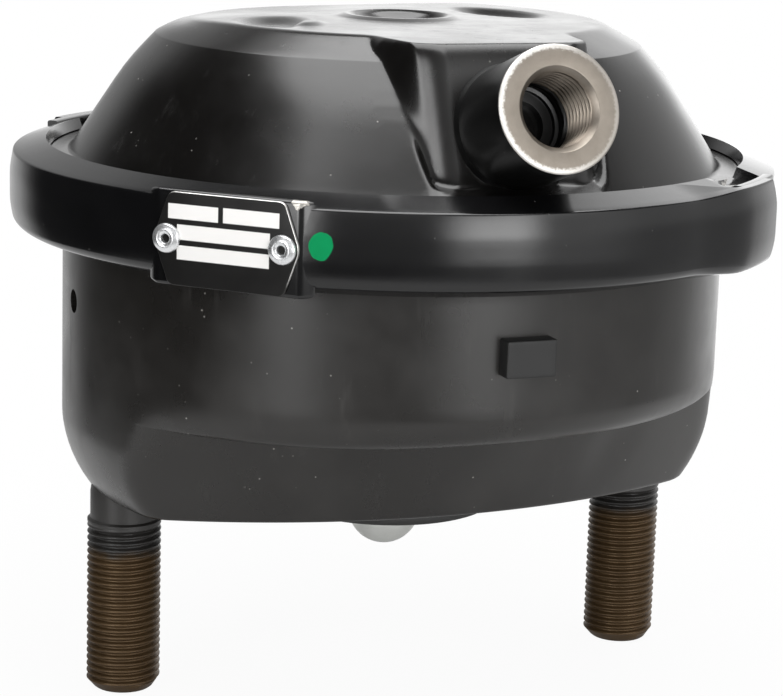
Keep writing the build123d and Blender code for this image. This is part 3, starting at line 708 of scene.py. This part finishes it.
def press_foot(x, y, z):
    """Carries a round pot with a round foot over to the oblong foot."""
    r, angle = polar(x, y)
    if z > SHOULDER_Z + FOOT_CORNER or r > BODY_R - 0.001 and z > SHOULDER_Z:
        return x, y, z
    side = FOOT_HALF + FOOT_DRAFT * z
    edge = foot_edge(angle, z)
    if r >= side:
        r = edge + (r - side) * (BODY_R - edge) / (BODY_R - side)
    elif r > side - 4:
        r = edge - (side - r)
    else:
        r = HOLE_R + (r - HOLE_R) * (edge - 4 - HOLE_R) / (side - 4 - HOLE_R)
    if r > 40:
        on_shoulder = smooth(z, 10.0, 21.0) * (1 - smooth(z, 24.0, 30.0))
        z -= 1.3 * smooth(-x, -5.0, 45.0) * on_shoulder
        for middle, level, wide, tall, deep in DENTS:
            away = math.hypot((math.degrees(angle) - middle) / wide, (z - level) / tall)
            r -= deep * (1 - smooth(away, 0.0, 1.0))
    return r * math.cos(angle), r * math.sin(angle), z


def make_housing():
    """Deep drawn cup: turned as a round pot, its foot pressed oblong, then vented."""
    rim = JOINT_Z - RIM_RISE
    path = rounded([
        (RIM_R, rim + (RIM_R - CLAMP_LIP) * RIM_SLOPE),
        (BODY_R, rim - (CLAMP_LIP - BODY_R) * RIM_SLOPE),
        (BODY_R, SHOULDER_Z),
        (FOOT_HALF + FOOT_DRAFT * SHOULDER_Z, SHOULDER_Z),
        (FOOT_HALF, 0.0),
        (HOLE_R, 0.0)], [3.0, 6.5, 3.5, 1.6], 2.0, 8.0)
    cup = turn_piece("housing_shell", path, 288)
    reshape(cup, press_foot)
    edit(cup)
    bpy.ops.mesh.remove_doubles(threshold=0.03)
    bpy.ops.object.mode_set(mode="OBJECT")
    divide(cup, lambda x, y, z: abs(z - VENT_Z) < 6 and abs(y) < 6, 3)
    thicken(cup, SHEET)
    for side in (-1, 1):
        clear()
        bpy.ops.mesh.primitive_cylinder_add(
            vertices=48, radius=VENT_HOLE_R, depth=16, location=(side * BODY_R, 0, VENT_Z),
            rotation=(0, math.pi / 2, 0))
        cut(cup, bpy.context.object)
    return settle(cup, "body", "black_paint", "housing", finishes=[PAINT_CUP])


def make_vent_plugs():
    """Push-in plug: a block with a soft edge and a slightly wavy face, front and back."""
    face_at = -(BODY_R + 3)

    def ripple(x, y, z):
        return x, y + (0.04 * math.sin(x * 0.9 + z * 0.5) if y < face_at else 0), z

    clear()
    bpy.ops.mesh.primitive_cube_add(size=1, location=(PLUG_SIDE, -(BODY_R + PLUG_OUT), VENT_Z))
    plug = bpy.context.object
    plug.scale = PLUG_SIZE
    bpy.ops.object.transform_apply(location=True, rotation=False, scale=True)
    modify(plug, "BEVEL", width=0.35, segments=4, limit_method="ANGLE")
    divide(plug, lambda x, y, z: y < face_at, 10)
    reshape(plug, ripple)
    other = double(plug, Matrix.Rotation(math.pi, 4, "Z"))
    return settle(join("vent_plug_pair", plug, other), "body", "vent_plastic", "vent_plugs",
                  finishes=[PLUG])


# ---------------------------------------------------------------- upper shell


def press_cover(x, y, z):
    """Raises the flat pad for the port and sinks the shallow dishes in the top."""
    r = math.hypot(x, y)
    if y < 0 and abs(x) < 30 and 30 < r < 74:
        half = PAD_HALF + PAD_TAPER * (min(y, -44) - PAD_MIDDLE)
        share = 1 - smooth(abs(x), half - 1.0, half + 1.9)
        corner = -soft_least(0.0, half - PAD_CORNER - abs(x), 1.9)
        face = PORT_BASE[2] + (y - PORT_BASE[1]) / PAD_SLOPE - PAD_FALL * corner
        floor = JOINT_Z + RIM_RISE - (r - CLAMP_LIP) * RIM_SLOPE
        pad = soft_least(COVER_TOP, face, 6.0)
        pad = -soft_least(-pad, -floor, 3.0)
        z = z + (pad - z) * share
    if r < 50:
        inside_rim = 1 - smooth(r, 38, 43)
        for px, py, wide, long, turn, deep in DISHES:
            c, t = math.cos(math.radians(turn)), math.sin(math.radians(turn))
            across = ((x - px) * c + (y - py) * t) / wide
            along = ((y - py) * c - (x - px) * t) / long
            z -= deep * (1 - smooth(math.hypot(across, along), 0.45, 1.0)) * inside_rim
        z -= 1.5 * smooth(0.85 * y - 0.5 * x, 8.0, 42.0) * (1 - smooth(r, 43.0, 50.0))
        z += 0.6 * (1 - smooth(abs(r - RING_R), 0.6, 2.0))
        z -= 1.0 * (1 - smooth(abs(r - GROOVE_R), 0.5, 2.5))
    return x, y, z


def make_cover():
    """Domed cover with its port pad and dished top."""
    lip = JOINT_Z + RIM_RISE
    path = rounded([
        (0.01, COVER_TOP), (44.0, COVER_TOP), (52.3, 97.0), (58.2, 90.8), (70.4, 72.0),
        (CLAMP_LIP, lip), (RIM_R, lip - (RIM_R - CLAMP_LIP) * RIM_SLOPE)],
        [5.0, 0.8, 55.0, 1.2, 1.0], 2.4, 5.0)
    cover = turn_piece("cover_shell", path, 240)
    divide(cover, lambda x, y, z: y < -34 and abs(x) < 25 and z > 74, 2)
    divide(cover, lambda x, y, z: math.hypot(x, y) < 46 and y > -34.5, 1)
    reshape(cover, press_cover)
    thicken(cover, SHEET)
    return settle(cover, "body", "black_paint", "pressure_housing", finishes=[PAINT_COVER])


def place_port(piece):
    """Stands a piece turned about Z on the port pad."""
    matrix = Matrix.Translation(PORT_BASE) @ Matrix.Rotation(math.pi / 2 - PORT_TILT, 4, "X")
    piece.data.transform(matrix)


def thread_rule(crest, root, pitch, fade_low, fade_high):
    """Rule that sinks the thread's groove, running out towards both ends."""

    def move(x, y, z):
        r, angle = polar(x, y)
        if r < min(crest, root) - 1.5:
            return x, y, z
        phase = (z / pitch - angle / (2 * math.pi)) % 1.0
        groove = smooth(abs(phase - 0.5) * 2, 0.08, 0.86)
        depth = groove * (crest - root)
        depth *= smooth(z, *fade_low) * (1 - smooth(z, *fade_high))
        r -= depth
        return r * math.cos(angle), r * math.sin(angle), z

    return move


def make_port():
    """Welded port with a turned face, a threaded mouth and a weld bead at its root."""
    length = PORT_LENGTH
    mouth = length - PORT_MOUTH
    barrel = rounded([
        (PORT_R - 0.3, -1.0), (PORT_R, 0.2), (PORT_R, length), (8.3, length),
        (PORT_CREST_R, mouth)], [0.0, 0.4, 0.3], 4.0, 20.0)
    bore = [(PORT_CREST_R, mouth - THREAD_STEP * k) for k in range(1, 92)]
    bore += [(7.6, length - 15.6), (7.6, length - 17.0), (6.9, length - 17.2),
             (6.9, length - 18.4), (5.0, length - 18.6), (5.0, -1.0)]
    port = turn_piece("port_barrel", barrel + bore, 96)
    rule = thread_rule(PORT_CREST_R, PORT_ROOT_R, PITCH, (length - 14.6, length - 13.8),
                       (length - 1.9, mouth))

    def cut_thread(x, y, z):
        threaded = math.hypot(x, y) < 8 and length - 15 < z < mouth - 0.05
        return rule(x, y, z) if threaded else (x, y, z)

    reshape(port, cut_thread)
    edit(port)
    bpy.ops.mesh.normals_make_consistent(inside=False)
    bpy.ops.object.mode_set(mode="OBJECT")
    port.data.materials.append(PORT_BLACK)
    port.data.materials.append(PORT_BARE)
    # Painted shade: deeper than 12.5 mm the bore gets the black paint, so only the face and the
    # mouth of the bore are bright steel.
    for face in port.data.polygons:
        x, y, z = face.center
        bright_metal = z > length - 0.5 or math.hypot(x, y) < 9 and z > length - 12.5
        face.material_index = 1 if bright_metal else 0
    bead = turn_piece("port_weld", rounded([(12.4, 1.8), (13.1, 0.0), (12.3, -1.0)], [0.6]), 96)
    place_port(port)
    place_port(bead)
    bead.data.materials.append(PORT_BLACK)
    piece = join("port_boss_turned", port, bead)
    return settle(piece, "body", "port_metal", "port_boss", sharp=40)


# ---------------------------------------------------------------- clamp band


def channel_outline():
    """Closed outline of the band's channel section, its wall a little crowned."""
    inner_r = CLAMP_R - CLAMP_WALL
    inner_rise = CORNER_RISE - CLAMP_WALL
    outer = rounded([
        (CLAMP_LIP, JOINT_Z + CLAMP_HALF), (CLAMP_R - CORNER_IN, JOINT_Z + CORNER_RISE),
        (CLAMP_R, JOINT_Z + WALL_FLAT), (CLAMP_R, JOINT_Z - WALL_FLAT),
        (CLAMP_R - CORNER_IN, JOINT_Z - CORNER_RISE), (CLAMP_LIP, JOINT_Z - CLAMP_HALF)],
        [0.7, 14.0, 14.0, 2.4], 1.5, 9.0)
    slant = CLAMP_WALL * math.sin(math.atan(FLANGE_FALL))
    inner = rounded([
        (CLAMP_LIP - slant, JOINT_Z - CLAMP_HALF + CLAMP_WALL * 0.94),
        (inner_r, JOINT_Z - inner_rise), (inner_r, JOINT_Z + inner_rise),
        (CLAMP_LIP - slant, JOINT_Z + CLAMP_HALF - CLAMP_WALL * 0.94)], [1.0, 1.0], 2.5, 20.0)
    return outer + inner


def open_lap(x, y, z):
    """Opens the channel out into a flat strap that steps outwards over the other half."""
    r, angle = polar(x, y)
    degrees = math.degrees(angle)
    if not LAP["ramp"] < degrees < LAP["end"] + 1:
        return x, y, z
    share = smooth(degrees, LAP["ramp"], LAP["start"])
    rise = z - JOINT_Z
    high = min(abs(rise) / CORNER_RISE, 1.0)
    depth = min(CLAMP_R - r, CLAMP_WALL) + 0.5 * high ** 4
    r += (CLAMP_R + CLAMP_WALL - depth - r) * share
    tall = abs(rise) + (high * LAP_HALF - abs(rise)) * share
    return r * math.cos(angle), r * math.sin(angle), JOINT_Z + math.copysign(tall, rise)


def make_band(name):
    """Half band: a channel that opens into a strap, torn lips and the tongue under the lap."""
    inner_lip = LAP["next"] - 180
    channel = spin_piece(name, channel_outline(), inner_lip, LAP["end"], 160)
    reshape(channel, open_lap)
    parts = [channel]
    wall_z = CLAMP_WALL / math.cos(math.atan(FLANGE_FALL))
    reach = CLAMP_R - 2.6
    across = [CLAMP_LIP + (reach - CLAMP_LIP) * k / 6 for k in range(7)]

    def rise(r):
        """Height of a flange over the joint."""
        return CLAMP_HALF - (r - CLAMP_LIP) * FLANGE_FALL

    for side in (-1, 1):
        outline = [(r, JOINT_Z + side * rise(r)) for r in across]
        outline += [(r, JOINT_Z + side * (rise(r) - wall_z)) for r in reversed(across)]
        lip = spin_piece("lip", outline, LAP["ramp"] + 0.5, LAP["lip"], 20)

        def tear(x, y, z):
            """Pulls the end of a lip ragged."""
            r, angle = polar(x, y)
            pulled = smooth(math.degrees(angle), LAP["lip"] - 5, LAP["lip"])
            angle += math.radians(1.4) * pulled * math.sin(r * 2.3 + side)
            z -= side * pulled * (0.7 + 0.5 * math.sin(r * 3.1 + z))
            return r * math.cos(angle), r * math.sin(angle), z

        reshape(lip, tear)
        parts.append(lip)
    inner, middle = CLAMP_R - CLAMP_WALL, CLAMP_R - CLAMP_WALL / 2
    low, high = JOINT_Z - LAP_HALF, JOINT_Z + LAP_HALF
    outline = rounded([(middle, low), (CLAMP_R, low), (CLAMP_R, high), (inner, high), (inner, low),
                       (middle, low)], [0.5, 0.5, 0.5, 0.5], 1.5, 30.0)[:-1]
    parts.append(spin_piece("tongue", outline, LAP["start"] + 0.5 - 180, inner_lip + 0.3, 30))
    return join(name, *parts)


def bare_tear(piece, turn):
    """Shows bare steel where the lips of a half band were torn off."""
    piece.data.materials.append(CHIPPED)
    for face in piece.data.polygons:
        x, y, z = face.center
        r, angle = polar(x, y)
        past_lip = (math.degrees(angle) - turn + 180) % 360 - 180 - LAP["lip"]
        if r < CLAMP_R - 3 and abs(z - JOINT_Z) > 5 and -2.2 < past_lip < 3:
            face.material_index = 1


def make_clamps():
    """Front half with the flat block for the plate, and the rear half turned half round."""
    front = make_band("clamp_band_front")
    rear = double(front, Matrix.Rotation(math.pi, 4, "Z"), "clamp_band_rear")
    out = Vector((math.cos(PLATE_ANGLE), math.sin(PLATE_ANGLE), 0))

    def press(x, y, z):
        """Presses the band flat where the plate lies."""
        beyond = out.dot((x, y, 0)) - PLATE_FLAT
        return Vector((x, y, z)) - out * max(beyond, 0)

    reshape(front, press)
    clear()
    middle = -(BLOCK_SIZE[2] / 2 + BLOCK_BACK)
    bpy.ops.mesh.primitive_cube_add(size=1, location=(0, 0, middle))
    block = bpy.context.object
    block.scale = BLOCK_SIZE
    bpy.ops.object.transform_apply(location=True, rotation=False, scale=True)
    reshape(block, lambda x, y, z: (x * BLOCK_TAPER if z > middle else x, y, z))
    modify(block, "BEVEL", width=0.9, segments=5, limit_method="ANGLE")
    block.data.transform(plate_matrix())
    front = join("clamp_band_front", front, block)
    for band, finish, turn in ((front, PAINT_BAND_FRONT, 0), (rear, PAINT_BAND_REAR, 180)):
        band.data.materials.append(finish)
        bare_tear(band, turn)
    settle(front, "body", "black_paint", "clamp_front")
    settle(rear, "body", "black_paint", "clamp_rear")


# ---------------------------------------------------------------- name plate


def make_plate():
    """Thin plate with rounded corners, an ear round each rivet and a painted highlight along the
    top and the right of its edge.
    """
    wide, middle, high = PLATE_TOP_HALF, PLATE_MIDDLE_HALF, PLATE_HIGH_HALF
    half = rounded([(0.0, -high), (wide, -high), (middle, 0.0), (wide, high), (0.0, high)],
                   [1.7, 4.2, 1.7], 3.0, 9.0)
    outline = half + [(-u, v) for u, v in reversed(half[1:-1])]
    clear()
    bpy.ops.mesh.primitive_circle_add(vertices=len(outline), radius=1, fill_type="NGON")
    plate = bpy.context.object
    for vertex, (u, v) in zip(plate.data.vertices, outline):
        vertex.co = (u, v, 0)
    edit(plate)
    bpy.ops.mesh.extrude_region_move(TRANSFORM_OT_translate={"value": (0, 0, PLATE_THICK)})
    bpy.ops.mesh.select_all(action="SELECT")
    bpy.ops.mesh.normals_make_consistent(inside=False)
    bpy.ops.object.mode_set(mode="OBJECT")
    modify(plate, "BEVEL", width=0.22, segments=3, limit_method="ANGLE",
           angle_limit=math.radians(50))
    plate.data.materials.append(PLATE)
    plate.data.materials.append(PLATE_EDGE)
    for face in plate.data.polygons:
        face.material_index = 0 if face.normal.z > 0.9 else 1
    plate.name = "blank_plate"
    plate.data.transform(plate_matrix())
    return settle(plate, "body", "plate", "name_plate")


def make_rivets():
    """Domed tubular rivet, one turned and one copied."""
    path = rounded([
        (0.01, -0.6), (0.8, -0.5), (0.9, 0.8), (1.7, 1.2), (2.8, 0.6), (2.95, 0.0), (1.6, -0.02),
        (1.6, -1.6)], [0.2, 0.35, 0.8, 0.5, 0.1, 0.0], 1.0, 15.0)
    rivet = turn_piece("rivet", path, 48)
    copies = []
    for side in (-1, 1):
        across = Matrix.Translation((side * RIVET_REACH + RIVET_SHIFT, 0, 0))
        copies.append(double(rivet, plate_matrix(PLATE_THICK) @ across))
    bpy.data.objects.remove(rivet)
    return settle(join("plate_rivet_pair", *copies), "body", "rivet", "plate_rivets", sharp=50,
                  finishes=[RIVET])


# ---------------------------------------------------------------- studs


def make_studs():
    """Stud with a bare neck and a rolled thread, one modelled and one copied."""
    path = [(0.01, 9.9), (10.4, 9.9), (10.4, 7.1), (NECK_R, 7.1), (NECK_R, 0.0), (NECK_R, -5.8)]
    path += [(STUD_CREST_R, -6.2 - THREAD_STEP * k) for k in range(240)]
    path += [(STUD_CREST_R, -42.3), (6.5, -43.7), (6.1, STUD_END), (0.01, STUD_END)]
    stud = turn_piece("stud", path, 72)
    rule = thread_rule(STUD_CREST_R, STUD_ROOT_R, PITCH, (-42.9, -41.9), (-8.4, -6.6))
    reshape(stud, lambda x, y, z: rule(x, y, z) if -42.4 < z < -6 else (x, y, z))
    copies = [double(stud, Matrix.Translation((side * STUD_X, 0, 0))) for side in (-1, 1)]

    def trim_head(x, y, z):
        """Cuts the head straight where it meets the wall of the cup."""
        return max(min(x, HEAD_X), -HEAD_X) if z > 7 else x, y, z

    for copy in copies:
        reshape(copy, trim_head)
    bpy.data.objects.remove(stud)
    return settle(join("stud_pair", *copies), "body", "stud_metal", "mounting_studs", sharp=50,
                  finishes=[STUD])


# ---------------------------------------------------------------- working parts


def make_rod():
    """Push rod with a round end and a riveted head."""
    path = rounded([(0.01, -16.4), (8.0, -16.4), (8.0, 88.3), (6.0, 88.3), (6.0, 91.3),
                    (9.0, 91.3), (6.5, 93.3), (0.01, 93.3)],
                   [7.9, 0.3, 0.2, 0.0, 0.6, 0.4], 6.0, 6.0)
    rod = turn_piece("push_rod_turned", path, 96)
    return settle(rod, "rod", "zinc", "push_rod", finishes=[ZINC])


def make_seal():
    """Rubber ring that buttons into the foot."""
    path = rounded([
        (18.5, 9.2), (18.5, -4.4), (19.6, -5.9), (22.0, -5.9), (22.6, -5.2), (23.2, -5.9),
        (25.0, -5.9), (25.0, 2.98), (20.9, 2.98), (20.9, 7.0), (23.6, 7.0), (23.0, 9.2),
        (18.5, 9.2)],
        [0.0, 0.6, 0.5, 0.4, 0.5, 1.5, 0.0, 0.3, 0.3, 0.4, 0.6], 3.0, 15.0)
    seal = turn_piece("rod_seal", path, 128, closed=True)
    return settle(seal, "body", "black_rubber", "flange_seal", finishes=[SEAL_RUBBER])


def make_bellows():
    """Folded gaiter between the seal and the collar on the rod."""
    points = [(18.3, -2.9), (18.3, 9.2)]
    radii = [1.0]
    for fold in range(3):
        level = 9.2 + fold * 10.0
        points += [(13.8, level + 5.0), (17.6, level + 10.0)]
        radii += [1.6, 1.6]
    points += [(9.7, 44.2), (9.7, 53.2)]
    radii += [1.0]
    bellows = turn_piece("rod_gaiter", rounded(points, radii, 2.0, 15.0), 96)
    thicken(bellows, 1.3)
    return settle(bellows, "body", "black_rubber", "bellows", finishes=[RUBBER])


def make_diaphragm():
    """Moulded rubber skin with its bead in the clamp joint."""
    path = rounded([
        (0.01, 97.2), (43.0, 97.2), (50.0, 93.4), (54.8, 88.6), (60.6, 79.0), (62.0, 66.0),
        (71.5, 66.0)], [5.0, 2.0, 6.0, 3.0, 1.5], 3.0, 12.0)
    skin = turn_piece("diaphragm_skin", path, 160)
    thicken(skin, 2.9)
    bead = turn_piece("diaphragm_bead", rounded([
        (69.7, 58.8), (79.3, 62.2), (79.3, 66.8), (69.7, 70.2), (69.7, 58.8)], [0.5, 0.5, 0.5],
        3.0, 30.0), 160, closed=True)
    return settle(join("diaphragm_moulded", skin, bead), "body", "black_rubber", "diaphragm",
                  finishes=[RUBBER])


def dress(node, finish):
    """Gives a carried over node its finish."""
    nodes[node].data.materials.clear()
    nodes[node].data.materials.append(finish)


# ---------------------------------------------------------------- stage


def make_camera():
    """Camera a little above the object, left of its front."""
    data = bpy.data.cameras.new("camera")
    camera = bpy.data.objects.new("camera", data)
    bpy.context.scene.collection.objects.link(camera)
    data.lens = CAMERA_LENS
    data.sensor_width = 36.0
    data.clip_start = 0.01
    turn = (Matrix.Rotation(math.radians(CAMERA_YAW), 4, "Z")
            @ Matrix.Rotation(math.radians(90 + CAMERA_PITCH), 4, "X")
            @ Matrix.Rotation(math.radians(CAMERA_ROLL), 4, "Z"))
    camera.matrix_world = Matrix.Translation(CAMERA_AT) @ turn
    bpy.context.scene.camera = camera


def seen_directly(tree):
    """Whether the camera sees a point itself, and whether it sees it mirrored."""
    rays = add_node(tree, "ShaderNodeLightPath").outputs
    direct = Wire(tree, rays["Is Camera Ray"]).most(Wire(tree, rays["Is Transmission Ray"]))
    return direct, Wire(tree, rays["Is Glossy Ray"])


def make_floor():
    """Small round table top that keeps a faint shadow and is white beyond it."""
    clear()
    bpy.ops.mesh.primitive_circle_add(vertices=128, radius=FLOOR_R, fill_type="NGON",
                                      location=(0, 0, FLOOR_Z))
    floor = bpy.context.object
    floor.name = "floor"
    pale = Finish("floor_white", (0.5, 0.5, 0.5), 0.7)
    cloud = pale.noise(400.0, 2.0)
    pale.set("Base Color", pale.mix(cloud, (0.49, 0.49, 0.49), (0.51, 0.51, 0.51)))
    x, y, _ = pale.axes()
    reach = (x * x + y * y).root()
    direct, mirrored = seen_directly(pale.tree)
    seen = direct.most(mirrored * 0.25)
    white = pale.node("ShaderNodeEmission", None, {"Strength": 1.0})
    pale.cover_with(white, seen * (0.95 + 0.05 * reach.step(110.0, 240.0)))
    floor.data.materials.append(pale.material)


def make_world():
    """White background; in reflections and as light, a dark studio with pale shapes in it."""
    world = bpy.data.worlds.new("studio")
    bpy.context.scene.world = world
    world.use_nodes = True
    tree = world.node_tree
    place = add_node(tree, "ShaderNodeTexCoord").outputs["Generated"]
    parts = add_node(tree, "ShaderNodeSeparateXYZ", None, {0: place})
    x, y, z = [Wire(tree, parts.outputs[i]) for i in range(3)]

    def upright(azimuth, width):
        """Soft edged upright slice of the studio in one direction."""
        c, s = math.cos(math.radians(azimuth)), math.sin(math.radians(azimuth))
        beside = (y * c - x * s).size()
        return (1 - beside.step(width * 0.5, width * 1.5)) * ((x * c + y * s) > 0.0)

    glow = 0.25 + 1.95 * z.step(-0.225, -0.175) + 3.8 * z.step(-0.17, 0.0)
    left = upright(*LEFT_LIGHT) * glow * 1.4 * (1 - z.step(0.4, 0.55))
    right = upright(*RIGHT_LIGHT) * glow * 1.12 * (1 - z.step(0.1, 0.42))
    front = ((1 - y.step(-0.9, -0.5)) * (0.3 + x.step(0.05, 0.3) * 0.8)
             * (0.5 + 0.5 * z.step(-0.25, -0.17) + 1.1 * z.step(0.15, 0.33)))
    side = (x.step(0.4, 0.85) * (1 - z.step(0.5, 0.7))
            * (0.5 + 0.35 * z.step(-0.1, 0.1) + 0.7 * y.step(0.1, 0.5) * (1 - z.step(0.0, 0.2))))
    right_half = x.step(0.1, 0.4) * 1.35 * (1 - 0.6 * z.step(0.25, 0.4))
    behind = (y.step(0.55, 0.9) * x.step(-0.5, -0.2) * (1 - z.step(0.5, 0.7))
              * (0.8 - 0.3 * z.step(-0.12, 0.0) + right_half))
    wx, wy, wz = WINDOW_AT
    window = ((x - wx) * (x - wx) + (y - wy) * (y - wy) + (z - wz) * (z - wz)).root()
    window = (1 - window.step(0.1, 0.34)) * 1.6
    camera = seen_directly(tree)[0]
    studio = left + right + front + side + behind + window + STUDIO_DIM
    strength = studio * (1 - camera) + camera
    back = tree.nodes["Background"]
    back.inputs["Color"].default_value = (1, 1, 1, 1)
    tree.links.new(strength.socket, back.inputs["Strength"])


def make_lamp():
    """One wide light overhead, square to the camera."""
    data = bpy.data.lights.new("lamp_top", "AREA")
    data.shape = "RECTANGLE"
    data.size, data.size_y = LAMP_SIZE
    data.energy = LAMP_POWER
    lamp = bpy.data.objects.new("lamp_top", data)
    bpy.context.scene.collection.objects.link(lamp)
    lamp.matrix_world = (Matrix.Translation(LAMP_AT)
                         @ Matrix.Rotation(math.radians(LAMP_YAW), 4, "Z"))


def main():
    """Builds the stage and every piece, then gives the carried over nodes their finishes."""
    make_camera()
    make_floor()
    make_world()
    make_lamp()
    make_housing()
    make_vent_plugs()
    make_cover()
    make_port()
    make_clamps()
    make_plate()
    make_rivets()
    make_studs()
    make_rod()
    make_seal()
    make_bellows()
    make_diaphragm()
    for node, finish in (("base_plate", PAINT_CUP), ("push_plate", ZINC), ("spring_seat", ZINC),
                         ("bellows_ring", ZINC), ("bellows_clip", ZINC), ("return_spring", SPRING)):
        dress(node, finish)


main()
bpy.context.scene.view_settings.view_transform = "Standard"
